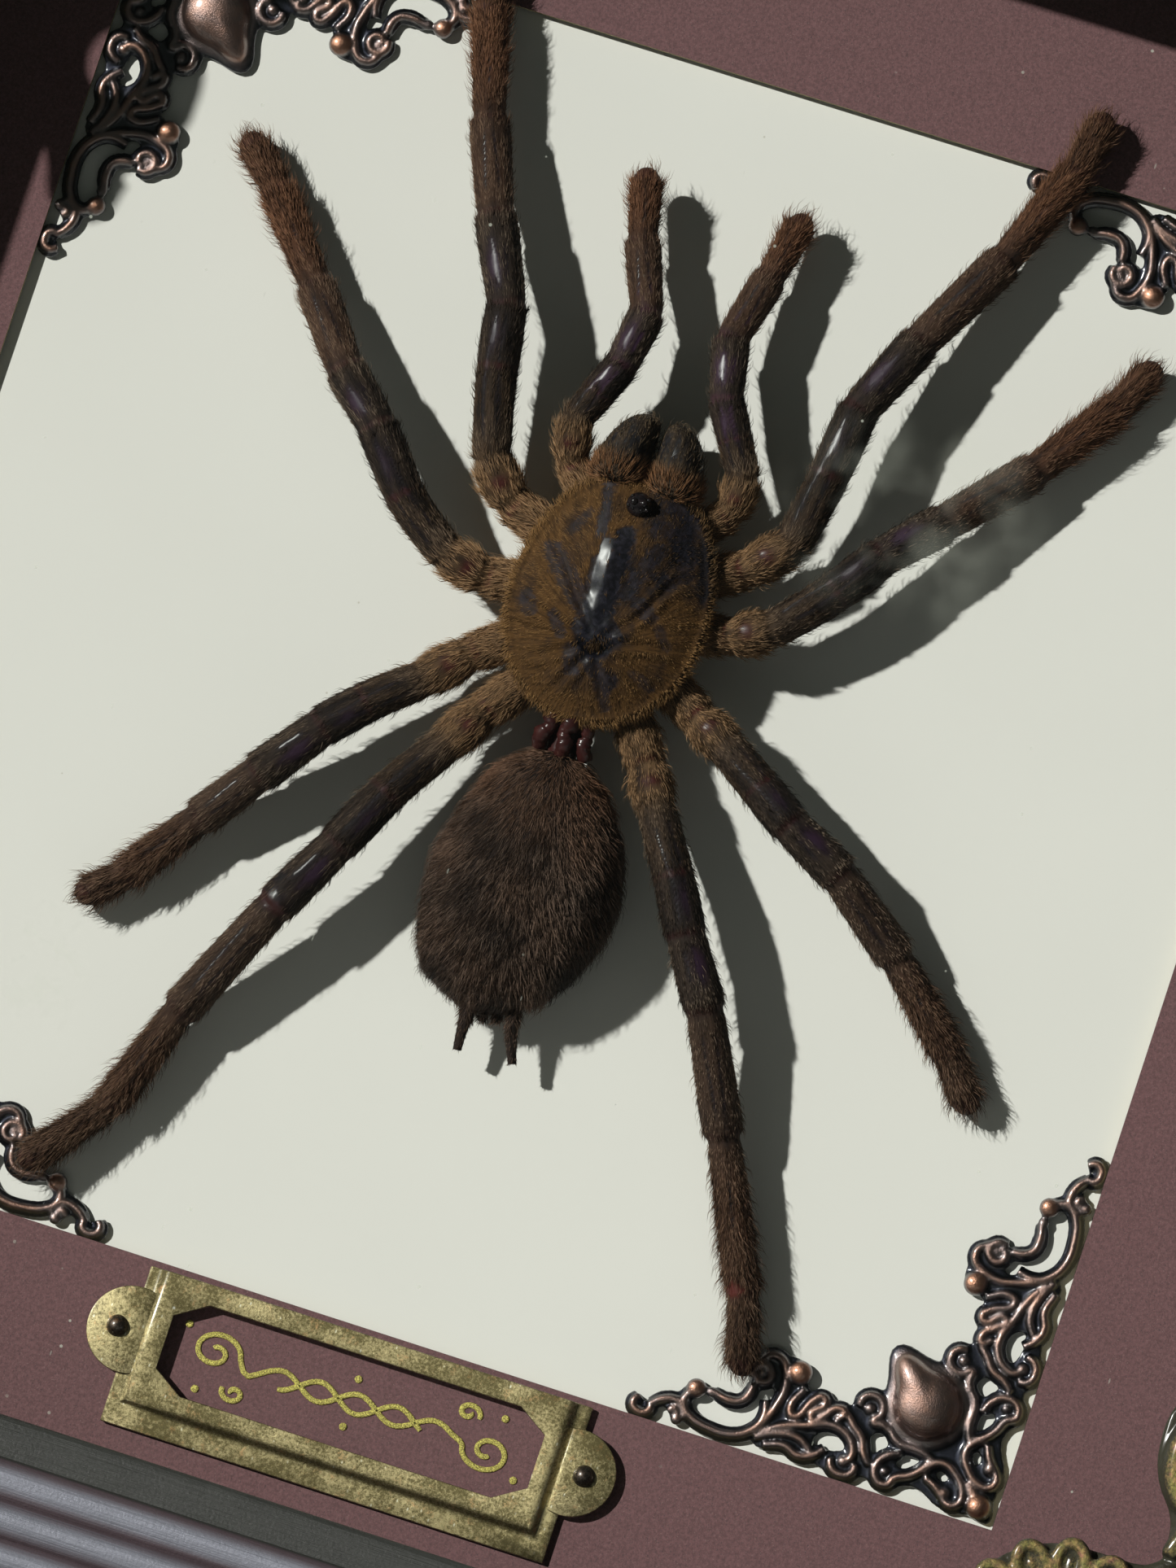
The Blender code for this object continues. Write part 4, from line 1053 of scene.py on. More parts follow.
def limb_skin(name, joints, thickness, groups, tip):
    """Draw the segments as one curve object, close the tip and fuse them."""
    bpy.ops.curve.primitive_bezier_curve_add(location=(0.0, 0.0, 0.0))
    drawn = bpy.context.object
    drawn.data.splines.clear()
    drawn.data.dimensions = "3D"
    drawn.data.bevel_depth = 1.0
    drawn.data.bevel_resolution = 5
    drawn.data.resolution_u = 6
    drawn.data.use_fill_caps = True
    for segment in sleeves(joints, thickness, groups):
        spline = drawn.data.splines.new("BEZIER")
        spline.bezier_points.add(len(segment) - 1)
        for knot, (place, radius) in zip(spline.bezier_points, segment):
            knot.co, knot.radius = place, radius
            knot.handle_left_type = knot.handle_right_type = "AUTO"
    alone(drawn)
    bpy.ops.object.convert(target="MESH")
    tube = bpy.context.object
    skin = joined([bead(*joints[-1], tip), tube])
    skin.name = name
    shaped(skin, "REMESH", mode="VOXEL", voxel_size=SKIN_VOXEL)
    shaped(skin, "SMOOTH", factor=0.5, iterations=2)
    bpy.ops.object.shade_smooth()
    return skin


# %% [markdown]
# Every point of a skin needs to know where it lies on the limb: how far out, and how far round from
# the top. The nearest place on the middle line tells both, and the fur takes its heading from there.

# %% Finding one's place on a limb
def normals_of(piece):
    """The mesh's outward directions as an array."""
    normals = np.empty(len(piece.data.vertices) * 3)
    piece.data.vertices.foreach_get("normal", normals)
    return normals.reshape(-1, 3)


def unit(vectors):
    """The same directions, each one unit long."""
    return vectors / np.maximum(np.linalg.norm(vectors, axis=1, keepdims=True), 1e-9)


def station(places, joints):
    """For each place: how many joints out it is, its angle from the top, and the way outwards."""
    line = ray_of(joints, 0, len(joints) - 1)
    count = np.linspace(0.0, len(joints) - 1, len(line))
    heading = unit(np.gradient(line, axis=0))
    kernel = np.ones(15) / 15
    heading = unit(np.stack([np.convolve(np.pad(heading[:, k], 7, "edge"), kernel, "valid")
                             for k in range(3)], 1))
    nearest = np.concatenate([
        np.argmin(((batch[:, None] - line[None]) ** 2).sum(2), axis=1)
        for batch in np.array_split(places, 12)])
    ahead = heading[nearest]
    side = unit(np.cross(ahead, (0.0, 0.0, 1.0)))
    above = np.cross(side, ahead)
    offset = places - line[nearest]
    angle = np.degrees(np.arctan2((offset * side).sum(1), (offset * above).sum(1)))
    return count[nearest], angle, ahead


def hump(values, middle, half):
    """1 at the middle, fading to 0 a few half widths away."""
    return np.exp(-((values - middle) / half) ** 2)


def step_up(values, low, high):
    """0 below low, 1 above high and smooth in between, as between() does for a surface."""
    share = np.clip((values - low) / (high - low), 0.0, 1.0)
    return share * share * (3.0 - 2.0 * share)


def ripple(uv, per_mm, seed):
    """A cheap smooth wobble from a few crossed waves."""
    chance = np.random.default_rng(seed)
    total = np.zeros(len(uv))
    for _ in range(7):
        heading = chance.uniform(0.0, math.tau)
        wave = per_mm * chance.uniform(0.6, 1.6) * math.tau
        total += np.sin(wave * (uv[:, 0] * math.cos(heading) + uv[:, 1] * math.sin(heading))
                        + chance.uniform(0.0, math.tau))
    return total / 7.0


# %% [markdown]
# ## Growing hair
# Each hair is a slim closed needle of four triangles, rooted just under the skin. Roots are
# scattered over the skin's triangles by area, and each needle leans off the surface towards the
# limb's tip. Longer guard hairs get a bend half way. All are drawn from seeded chance, so the coat
# is the same every time, and one mesh holds a whole coat. The skin hands its hairs the shares of
# rust and gold and the tone at their roots.

# %% Hair
def mesh_piece(name, places, faces):
    """One object from arrays of places and triangles."""
    data = bpy.data.meshes.new(name)
    data.vertices.add(len(places))
    data.vertices.foreach_set("co", places.ravel())
    data.loops.add(faces.size)
    data.loops.foreach_set("vertex_index", faces.ravel().astype(np.int32))
    data.polygons.add(len(faces))
    data.polygons.foreach_set("loop_start", np.arange(0, faces.size, 3, dtype=np.int32))
    data.update(calc_edges=True)
    piece = bpy.data.objects.new(name, data)
    bpy.context.scene.collection.objects.link(piece)
    return piece


TRIAD = np.radians([0.0, 120.0, 240.0])
NEEDLE = np.array([(0, 1, 3), (1, 2, 3), (2, 0, 3), (2, 1, 0)])
BENT = np.array([(0, 1, 4), (0, 4, 3), (1, 2, 5), (1, 5, 4), (2, 0, 3), (2, 3, 5),
                 (3, 4, 6), (4, 5, 6), (5, 3, 6), (2, 1, 0)])


def coat(name, skin, flow, density, length, lean, thick, seed, carried, bent=False, sway=0.25):
    """Grow hairs on a skin: flow, density and what is carried are given at the skin's points."""
    chance = np.random.default_rng(seed)
    skin.data.calc_loop_triangles()
    corners = np.empty(len(skin.data.loop_triangles) * 3, np.int32)
    skin.data.loop_triangles.foreach_get("vertices", corners)
    corners = corners.reshape(-1, 3)
    places, normals = points_of(skin), normals_of(skin)
    a, b, c = (places[corners[:, k]] for k in range(3))
    area = 0.5 * np.linalg.norm(np.cross(b - a, c - a), axis=1)
    count = chance.poisson(area * density[corners].mean(1))
    corners = corners[np.repeat(np.arange(len(corners)), count)]
    total = len(corners)
    r = chance.random((total, 2))
    r[r.sum(1) > 1.0] = 1.0 - r[r.sum(1) > 1.0]
    weights = np.stack([1.0 - r.sum(1), r[:, 0], r[:, 1]], 1)

    def at(values):
        """What is given at the skin's points, read at each root."""
        values = np.broadcast_to(values, (len(places), *np.shape(values)[1:]))
        spread = weights if values.ndim == 1 else weights[:, :, None]
        return (values[corners] * spread).sum(1)

    root, up, ahead = at(places), unit(at(normals)), at(flow)
    ahead = unit(ahead - up * (ahead * up).sum(1, keepdims=True))
    across = np.cross(up, ahead)
    ahead = unit(ahead + across * chance.normal(0.0, sway, (total, 1)))
    tilt = np.radians(at(lean) + chance.normal(0.0, 3.5, total))[:, None]
    reach = (at(length) * chance.uniform(0.65, 1.15, total))[:, None]
    heading = ahead * np.cos(tilt) + up * np.sin(tilt)
    first = unit(np.cross(up, heading))
    second = np.cross(heading, first)
    spin = chance.uniform(0.0, math.tau, total)
    root = root - up * 0.04
    ring = [first * (thick * np.cos(spin + turn))[:, None]
            + second * (thick * np.sin(spin + turn))[:, None] for turn in TRIAD]
    if bent:
        middle = root + heading * reach * 0.55
        droop = unit(heading - up * 0.55)
        rows = [root + part for part in ring] + [middle + 0.7 * part for part in ring]
        rows.append(middle + droop * reach * 0.5)
        pattern, along = BENT, (0.0, 0.0, 0.0, 0.6, 0.6, 0.6, 1.0)
    else:
        rows = [root + part for part in ring] + [root + heading * reach]
        pattern, along = NEEDLE, (0.0, 0.0, 0.0, 1.0)
    shape = np.stack(rows, 1)
    faces = (pattern[None] + (np.arange(total) * len(rows))[:, None, None]).reshape(-1, 3)
    piece = mesh_piece(name, shape.reshape(-1, 3), faces)
    mark(piece, tip=np.tile(along, total))
    own = {"tone": chance.uniform(-0.28, 0.28, total)}
    for key, values in carried.items():
        level = np.clip(at(values) + own.get(key, 0.0), 0.0, 1.0)
        mark(piece, **{key: np.repeat(level, len(rows))})
    print(name, total, "hairs")
    return piece


# %% [markdown]
# The skin under the fur is dark polished shell. It shows where the hair is rubbed off: in lines
# along the segments, on the knees and round the joints. The hair is brown, lighter and redder
# towards the feet and golden near the body, and each needle has its own tone.


# %% Shell and hair finishes
def shell_finish(name, dark, sheen, fur_tint, coat_roughness=0.34, relief=0.10):
    """Polished shell where bald is 1, and felted skin elsewhere."""
    shell = Finish(name, dark, 0.30, Coat_Weight=0.5, Coat_Roughness=coat_roughness,
                   Specular_IOR_Level=0.09)
    bald = shell.marked("bald")
    combed = shell.node("ShaderNodeCombineXYZ", {}, {0: shell.marked("out") * 0.55,
                                                     1: shell.marked("round") * 4.5})
    strands = shell.node("ShaderNodeTexNoise", {}, {"Vector": combed, "Scale": 1.0, "Detail": 4.0,
                                                    "Roughness": 0.65})
    grain = shell.noise(2.2, 4.0, 0.6)
    fine = shell.noise(8.0, 3.0, 0.7)
    felt = shell.mix(strands.between(0.35, 0.62), tuple(0.45 * x for x in fur_tint), fur_tint)
    felt = shell.mix(shell.marked("rust"), felt, (0.100, 0.040, 0.020))
    felt = shell.mix(shell.marked("gold"), felt, (0.150, 0.086, 0.042))
    # The felt goes dark where the mark below is high: dark patches of the thing's own on every piece, and
    # painted shade as well on the shield and the rear body.
    felt = shell.mix(shell.marked("dusk"), felt, dark)
    polished = shell.mix(grain.between(0.40, 0.66), dark, sheen)
    polished = shell.mix(shell.marked("violet"), polished, (0.034, 0.015, 0.034))
    reddish = shell.mix(shell.marked("red"), polished, (0.085, 0.016, 0.012))
    shell.done(Base_Color=shell.mix(bald, felt, reddish),
               Roughness=0.70 - 0.30 * bald + 0.10 * grain, Coat_Weight=bald.between(0.72, 1.0) * 0.58,
               Normal=shell.bump((1.0 - bald) * strands + 0.35 * fine + 0.4 * grain, relief))
    return shell.material


def hair_finish(name, root, low, high, rust, gold):
    """Hair that is darker at the root, with a tone from low to high and shares of rust and gold."""
    hair = Finish(name, high, 0.5, Specular_IOR_Level=0.16)
    tone, tip = hair.marked("tone"), hair.marked("tip")
    brown = hair.mix(tone.between(0.1, 0.95), low, high)
    warm = hair.mix(hair.marked("rust") * (0.55 + 0.45 * tone), brown, rust)
    warm = hair.mix(hair.marked("gold") * (0.65 + 0.35 * tone), warm, gold)
    hair.done(Base_Color=hair.mix((tip + 0.4 * tone).between(0.0, 0.5), root, warm),
              Roughness=0.42 + 0.2 * tone)
    return hair.material


leg_shell = shell_finish("leg_shell", (0.0055, 0.0045, 0.005), (0.015, 0.010, 0.014),
                         (0.050, 0.034, 0.025))
leg_hair = hair_finish("leg_hair", (0.030, 0.018, 0.012), (0.026, 0.017, 0.012),
                       (0.200, 0.146, 0.106), (0.250, 0.108, 0.054), (0.345, 0.198, 0.098))
print("finishes:", leg_shell.name, "and", leg_hair.name)

# %% [markdown]
# One rule serves all ten limbs. It thins the hair along the bald lines and under the limb, keeps it
# short on the thigh and bushy on the foot, and raises it at the rims of the sleeves. Two old
# injuries are kept: the glossy black patch on one knee and the raw pink spot above one foot.

# %% Dressing a limb
LEG_GROUPS = ((0, 1), (1, 2), (2, 4), (4, 5), (5, 6), (6, 7), (7, 8))
PALP_GROUPS = ((0, 1), (1, 2), (2, 3), (3, 4), (4, 5), (5, 6))


def dressed(name, joints, thickness, groups, shift, tip, seed, slot, warm=1.0, wet=0.0, raw=0.0):
    """Make one limb's skin and coat. shift lines a palp's joint count up with a leg's."""
    skin = limb_skin(name, joints, thickness, groups, tip)
    places = points_of(skin)
    count, angle, ahead = station(places, joints)
    reach = np.interp(count, np.arange(len(joints)), np.r_[0.0, np.cumsum(
        np.linalg.norm(np.diff(np.array(joints), axis=0), axis=1))])
    around = np.radians(angle) * 1.9
    clumps = ripple(np.column_stack([reach * 0.35, around]), 0.42, seed)
    count = np.where(count > 2.0, count + shift * np.clip(count - 2.0, 0.0, 1.0), count)
    on_top = step_up(np.cos(np.radians(angle)), -0.5, 0.4)
    share = count % 1.0
    lines = np.zeros(len(places))
    for middle, half, start, end in ((-26, 6, 2.2, 3.9), (10, 6, 2.3, 3.9), (-14, 8, 4.1, 4.8),
                                     (20, 7, 4.15, 4.7), (-20, 5, 5.15, 5.9), (14, 5, 5.15, 5.9),
                                     (2, 4, 6.2, 6.7)):
        wander = 5.0 * np.sin(3.1 * count + middle)
        inside = step_up(count, start, start + 0.12) * (1.0 - step_up(count, end - 0.15, end))
        lines = np.maximum(lines, inside * hump(angle + wander, middle, half))
    knee = 0.85 * hump(count, 4.4, 0.26) * hump(angle, -24, 26)
    thigh = 0.8 * hump(count, 3.45, 0.30) * hump(angle, -16, 15)
    socket = hump(count, 1.50, 0.20) * hump(angle, -5, 34)
    folds = 0.8 * hump(count, 0.93, 0.06) * hump(angle, -10, 60)
    sore = raw * hump(count, 7.0, 0.10) * hump(angle, 30, 34)
    gloss = wet * np.maximum(hump(count, 4.92, 0.12) * hump(angle, 20, 60),
                             hump(count, 4.72, 0.14) * hump(angle, 48, 26))
    rims = hump(count, np.round(count), 0.045)
    rubbed = np.clip(0.5 * lines + knee + thigh + 0.35 * np.clip(clumps, 0.0, 1.0), 0.0, 1.0)
    bald = np.clip(np.maximum(lines, rubbed) + socket + folds + sore + gloss
                   + 0.5 * rims * (count > 2.4), 0.0, 1.0)
    red = np.clip(0.6 * socket + folds + 0.3 * rims + 1.8 * sore, 0.0, 1.0)
    palp = 1.0 if shift else 0.0
    violet = np.clip(knee + 0.6 * thigh + palp * step_up(count, 2.6, 3.4)
                     * (1.0 - step_up(count, 5.0, 5.6)), 0.0, 1.0)
    streaks = ripple(np.column_stack([reach * 0.16, around * 1.6]), 0.5, seed + 7)
    femur = step_up(count, 2.2, 2.6) * (1.0 - step_up(count, 3.9, 4.05))
    shin = step_up(count, 4.8, 5.1) * (1.0 - step_up(count, 5.9, 6.1))
    dusk = np.clip(0.25 + 0.3 * femur - 0.2 * shin - 0.7 * streaks - 0.4 * clumps, 0.0, 0.85)
    foot = step_up(count, 5.9, 6.6)
    rust = warm * (0.32 * step_up(count, 4.8, 5.2) + 0.6 * step_up(count, 5.8, 6.5)
                   - 0.2 * step_up(count, 6.8, 7.2))
    gold = (1.0 - step_up(count, 1.6, 2.3)) * 0.95 + 0.20 * hump(count, 2.6, 0.4)
    near = 1.0 - step_up(count, 1.7, 2.3)
    mark(skin, bald=bald, red=red, violet=violet, out=reach, round=around, dusk=dusk,
         rust=0.9 * rust, gold=np.clip(0.8 * gold, 0.0, 1.0))
    carried = {"rust": rust, "gold": np.clip(gold, 0.0, 1.0),
               "tone": 0.48 + 0.60 * streaks + 0.30 * clumps + 0.15 * near - 0.32 * femur + 0.2 * shin}
    keep = 1.0 - np.clip(1.2 * bald, 0.0, 0.97)
    sides = step_up(np.abs(angle), 50.0, 100.0)
    edge = hump(share, 0.92, 0.07)
    side_way = np.cross(normals_of(skin), ahead)
    combed = ahead + side_way * (0.10 + 0.45 * near)[:, None] * clumps[:, None]
    fine = coat(f"{name}_pile", skin, combed,
                20.0 * keep * (0.15 + 0.85 * on_top) * (1.0 + 0.2 * clumps),
                0.95 + 0.35 * foot + 0.50 * near + 0.1 * clumps,
                5.5 + 13.0 * foot + 9.0 * edge + 4.0 * near + 6.0 * sides + 5.0 * clumps,
                0.037, seed, carried, sway=0.12)
    guard = coat(f"{name}_guard", skin, combed,
                 1.3 * (0.30 + sides + 1.6 * foot + 0.8 * edge + 0.8 * near) * (0.4 + 0.6 * keep),
                 1.30 + 0.55 * foot + 0.30 * near, 26.0 + 14.0 * foot + 12.0 * sides + 8.0 * clumps, 0.030,
                 seed + 50, carried, True)
    fur = joined([guard, fine])
    mounted(skin, f"{name}_skin", leg_shell, slot, name)
    mounted(fur, f"{name}_fur", leg_hair, slot)


# %% The eight legs and two palps
for seed, (name, joints) in enumerate(LEG_JOINTS.items()):
    dressed(name, joints, SEGMENT_THICKNESS, LEG_GROUPS, 0.0, 1.32, 10 + seed, "leg_fur",
            warm=0.95 if name[-1] in "12" else 0.5,
            wet=1.0 if name == "leg_left_4" else 0.0, raw=1.0 if name == "leg_right_4" else 0.0)
for seed, (name, joints) in enumerate(PALP_JOINTS.items()):
    dressed(name, joints, PALP_THICKNESS, PALP_GROUPS, 1.0, 1.25, 30 + seed, "palp_fur")

# %% [markdown]
# ## The front body
# The shield over the front body is a low dome with a raised, bald ridge along the middle, furrows
# that spread like spokes from a central pit, and a small knob that carries the eyes. A sphere is
# pressed into the shield's outline and height, then a rule in u and v adds ridge, furrows and pit.
# The underside is drawn down to the card as the breastplate and mouthparts.

# %% Shaping the shield
SHIELD_MIDDLE = np.array((1.1, 9.6))
SHIELD_EDGE = (
    (1.1, 21.6), (4.8, 21.3), (7.4, 19.9), (9.4, 16.2), (10.6, 11.6), (10.7, 8.0), (9.6, 3.6),
    (7.4, 0.4), (4.6, -1.5), (1.1, -2.2), (-2.4, -1.6), (-5.2, 0.4), (-7.2, 3.6), (-8.3, 8.0),
    (-8.2, 11.6), (-6.9, 16.2), (-5.0, 19.9), (-2.6, 21.3))
PIT = np.array((1.3, 5.4))
SPOKES = (-64, -25, 14, 52, 128, 166, 205, 244)
# Strokes where the down is rubbed off: first end, other end, half width, how bare.
BALD_STROKES = (
    ((-0.45, 15.0), (-0.2, 8.2), 0.75, 1.0), ((0.9, 16.0), (1.0, 8.0), 1.1, 0.98),
    ((-2.2, 20.4), (-1.5, 15.6), 0.6, 0.85), ((-5.4, 12.7), (-1.4, 9.0), 1.1, 0.7),
    ((-0.9, 13.0), (-1.0, 8.0), 0.6, 0.8), ((-3.2, 17.2), (-4.4, 15.0), 0.5, 0.55),
    ((-6.3, 7.8), (-5.9, 6.8), 0.8, 0.6), ((-3.5, 6.9), (-2.2, 5.4), 0.6, 0.7),
    ((-0.8, 6.6), (0.4, 7.4), 0.8, 0.9), ((2.3, 7.4), (3.2, 6.4), 0.6, 0.85),
    ((-0.8, 4.2), (-0.2, 2.5), 0.8, 0.75), ((0.9, 3.8), (3.6, 2.4), 0.9, 0.8),
    ((2.6, 2.4), (3.9, 0.0), 0.6, 0.7), ((5.5, 3.8), (7.6, 3.0), 0.5, 0.55),
    ((4.0, 10.3), (5.6, 9.4), 0.8, 0.7), ((4.2, 20.2), (6.6, 19.4), 0.9, 0.7),
    ((3.6, 17.4), (6.4, 18.0), 1.0, 0.65), ((6.4, 16.6), (7.3, 14.2), 1.0, 0.65),
    ((2.6, 11.0), (4.2, 15.8), 0.8, 0.75), ((3.2, 13.6), (6.4, 12.8), 0.6, 0.55),
    ((6.6, 8.6), (7.8, 7.2), 0.5, 0.5))


def edge_reach(angle):
    """How far the shield's edge lies from its middle in each direction, smoothed."""
    rim = np.array(SHIELD_EDGE) - SHIELD_MIDDLE
    turn = np.arctan2(rim[:, 1], rim[:, 0])
    order = np.argsort(turn)
    turn, reach = turn[order], np.linalg.norm(rim[order], axis=1)
    fine = np.linspace(-math.pi, math.pi, 721)
    raw = np.interp(fine, np.r_[turn - math.tau, turn, turn + math.tau], np.tile(reach, 3))
    kernel = np.hanning(41) / np.hanning(41).sum()
    smooth = np.convolve(np.r_[raw[-21:-1], raw, raw[1:21]], kernel, "valid")
    return np.interp(angle, fine, smooth)


def stroke_share(uv, strokes, ragged):
    """1 inside the strokes, with ragged borders."""
    inside = np.zeros(len(uv))
    for first, last, half, bare in strokes:
        first, along = np.array(first), np.array(last) - np.array(first)
        share = np.clip(((uv - first) @ along) / (along @ along), 0.0, 1.0)
        away = np.linalg.norm(uv - first - share[:, None] * along, axis=1) / half
        inside = np.maximum(inside, bare * (1.0 - step_up(away + ragged, 0.75, 1.15)))
    return inside


alone()
bpy.ops.mesh.primitive_uv_sphere_add(segments=176, ring_count=128, radius=1.0)
shield = bpy.context.object
ball = points_of(shield)
# Blender lists a new ball's faces in another order each run. Hair is drawn face by face, so the
# faces are sorted here and the down comes out the same.
faces = [tuple(face.vertices) for face in shield.data.polygons]
starts = [face.index(min(face)) for face in faces]
shield.data = bpy.data.meshes.new("shield")
shield.data.from_pydata(ball.tolist(), [], sorted(
    face[start:] + face[:start] for face, start in zip(faces, starts)))
angle = np.arctan2(ball[:, 1], ball[:, 0])
share = np.sqrt(np.clip(1.0 - ball[:, 2] ** 2, 0.0, 1.0))
share = np.where(ball[:, 2] > 0.0, share ** 0.8, share)
reach = edge_reach(angle) * share
outwards = np.stack([np.cos(angle), np.sin(angle)], 1)
uv = SHIELD_MIDDLE + reach[:, None] * outwards
from_pit = uv - PIT
pit_far = np.linalg.norm(from_pit, axis=1)
pit_angle = np.degrees(np.arctan2(from_pit[:, 1], from_pit[:, 0]))
top = 7.35 + 2.35 * (1.0 - share ** 2.6)
ridge = step_up(uv[:, 1], 6.8, 8.6) * (1.0 - step_up(uv[:, 1], 14.0, 17.0))
beside = uv[:, 0] - 0.30 + 0.05 * (uv[:, 1] - 8.5)
top += 0.42 * ridge * np.where(beside < 0.0, np.clip(1.0 + beside / 1.15, 0.0, 1.0),
                               1.0 - step_up(beside, 0.0, 2.4))
head = step_up(uv[:, 1], 8.0, 14.0) * (1.0 - step_up(uv[:, 1], 20.4, 21.8))
top += 0.45 * head * (1.0 - step_up(np.abs(uv[:, 0] - 1.1), 2.2, 5.8))
for spoke in SPOKES:
    off = (pit_angle - spoke + 5.0 * ripple(uv, 0.12, spoke + 99) + 180.0) % 360.0 - 180.0
    away = np.radians(np.abs(off)) * pit_far
    along = step_up(pit_far, 0.8, 2.2) * (1.0 - step_up(share, 0.72, 0.93))
    top -= 0.11 * along * np.where(np.abs(off) < 80.0, hump(away, 0.0, 0.38), 0.0)
    top += 0.15 * along * np.where(np.abs(off) < 80.0, hump(away, 0.75, 0.40), 0.0)
curved = from_pit[:, 1] - 0.28 * from_pit[:, 0] ** 2
top -= hump(from_pit[:, 0], 0.0, 1.35) * hump(curved, -0.7, 0.42)
top += (0.07 * ripple(uv, 0.55, 4) + 0.10 * ripple(uv, 0.2, 5)) * (1.0 - share)
top += 0.16 * hump(share, 0.955, 0.03)
under = np.arcsin(np.clip(-ball[:, 2], 0.0, 1.0)) / QUARTER
lower = np.interp(under, (0.0, 0.12, 0.3, 0.62, 1.0), (7.35, 6.9, 4.4, 1.6, 0.7))
inset = np.interp(under, (0.0, 0.12, 0.3, 0.62, 0.8, 1.0), (1.0, 0.97, 0.66, 0.58, 0.40, 0.0))
below = SHIELD_MIDDLE + (edge_reach(angle) * inset)[:, None] * outwards
is_top = ball[:, 2] >= 0.0
places = np.where(is_top[:, None], np.column_stack([uv, top]), np.column_stack([below, lower]))
put_points(shield, places)
alone(shield)
bpy.ops.object.shade_smooth()
print("shield:", len(places), "points, highest at", round(float(places[:, 2].max()), 2), "mm")

# %% The eye knob, the eyes and the waist
EYE_KNOB = (1.05, 19.35)
EYES = ((-0.50, 0.12, 0.42), (0.55, 0.16, 0.42), (-0.98, -0.38, 0.24), (1.02, -0.38, 0.24),
        (-0.85, 0.66, 0.22), (0.90, 0.66, 0.22), (-0.42, -0.62, 0.18), (0.48, -0.62, 0.18))
knob = bead(*EYE_KNOB, 9.0, 1.22, 0.9)
eyes = [bead(EYE_KNOB[0] + 0.9 * u, EYE_KNOB[1] + 0.9 * v,
             8.95 + 1.08 * math.sqrt(max(0.1, 1.0 - (u * u + v * v) / 1.9)), 0.92 * radius)
        for u, v, radius in EYES]
waist = wire_curve("waist", [
    [(-0.2, -1.2, 6.1, 0.8), (-0.6, -2.1, 6.5, 1.1), (-0.5, -3.0, 6.5, 0.75), (-1.0, -3.9, 6.2, 1.05),
     (-1.1, -5.2, 5.4, 0.8)],
    [(1.0, -1.2, 6.3, 0.9), (1.3, -2.4, 6.9, 1.15), (1.0, -3.3, 6.8, 0.8), (1.3, -4.2, 6.6, 1.0),
     (1.2, -5.4, 5.8, 0.8)],
    [(2.7, -1.2, 6.1, 0.8), (2.9, -2.2, 6.5, 0.95), (3.1, -3.1, 6.3, 0.7), (3.0, -3.9, 6.1, 1.0),
     (3.6, -5.2, 5.4, 0.8)]], 0.85, 6.0)
waist_core = wire_curve("waist_core", [[(1.1, -0.8, 4.6), (1.1, -3.0, 4.6), (1.1, -5.4, 4.8)]], 1.9, 4.6)
glossy = joined([*eyes, knob, waist_core, waist])
bpy.ops.object.shade_smooth()
places = points_of(glossy)
wrinkled = step_up(-places[:, 1], 0.4, 1.4)
put_points(glossy, places + np.column_stack([
    0.15 * wrinkled * ripple(places[:, :2], 1.3, 41), np.zeros(len(places)),
    0.22 * wrinkled * ripple(places[:, :2], 1.6, 42)]))
reddish = step_up(-places[:, 1], -8.0, 0.0) * (0.35 + 0.2 * ripple(places[:, :2], 0.5, 19))
mark(glossy, bald=1.0, red=reddish, dusk=0.0, out=places[:, 1], round=places[:, 0])
print(len(eyes), "eyes, their knob and the waist:", len(places), "points")

# %% [markdown]
# Down covers the shield: short golden-brown hair that lies flat and points outwards and back, with
# a pale fringe standing out round the edge. The rubbed strokes, the ridge and the pit stay bare.

# %% Down on the shield
places = points_of(shield)
uv = places[:, :2]
ragged = 0.35 * ripple(uv, 0.5, 8) + 0.35 * ripple(uv, 1.6, 9)
bald = np.where(is_top, stroke_share(uv, BALD_STROKES, ragged), 0.0)
pit_ring = np.maximum(hump(from_pit[:, 0], 0.0, 1.8) * hump(curved, -0.7, 0.6),
                      0.9 * hump(pit_far, 1.0, 0.75)) * is_top
bald = np.maximum(bald, 0.95 * pit_ring)
mark(shield, bald=bald, red=0.0)
outward = np.column_stack([uv - SHIELD_MIDDLE, np.zeros(len(uv))])
outward = unit(outward) + np.array((0.0, -0.35, 0.0)) * (1.0 - share)[:, None]
swirl = 1.3 * ripple(uv, 0.16, 21)
outward = np.column_stack([outward[:, 0] - swirl * outward[:, 1], outward[:, 1] + swirl * outward[:, 0],
                           outward[:, 2]])
rim = step_up(share, 0.9, 0.98) * is_top
# Darker down and felt: dark patches and mottling of the shield's own colour, plus painted shade on the right
# front quarter and on the strip right of the ridge, which are turned away from the lamp. It is darker round
# the pit as well.
dusky = np.clip(0.85 * step_up(uv[:, 0] + 0.35 * uv[:, 1], 7.6, 9.8) * step_up(uv[:, 1], 10.5, 13.5)
                + 0.75 * ripple(uv, 0.21, 31) + 0.35 * ripple(uv, 0.75, 32)
                + 0.5 * hump(uv[:, 0], -3.6, 1.6) * hump(uv[:, 1], 16.3, 1.6)
                + 0.6 * hump(uv[:, 0], 2.2, 2.4) * hump(uv[:, 1], 2.4, 1.9)
                + 0.45 * hump(uv[:, 0], 3.4, 1.6) * hump(uv[:, 1], 9.0, 2.4)
                + 0.9 * hump(uv[:, 0], 1.7, 1.5) * hump(uv[:, 1], 11.5, 4.0)
                + 0.5 * hump(pit_far, 0.0, 2.2), 0.0, 1.0) * is_top
tangle = ripple(uv, 0.45, 77)
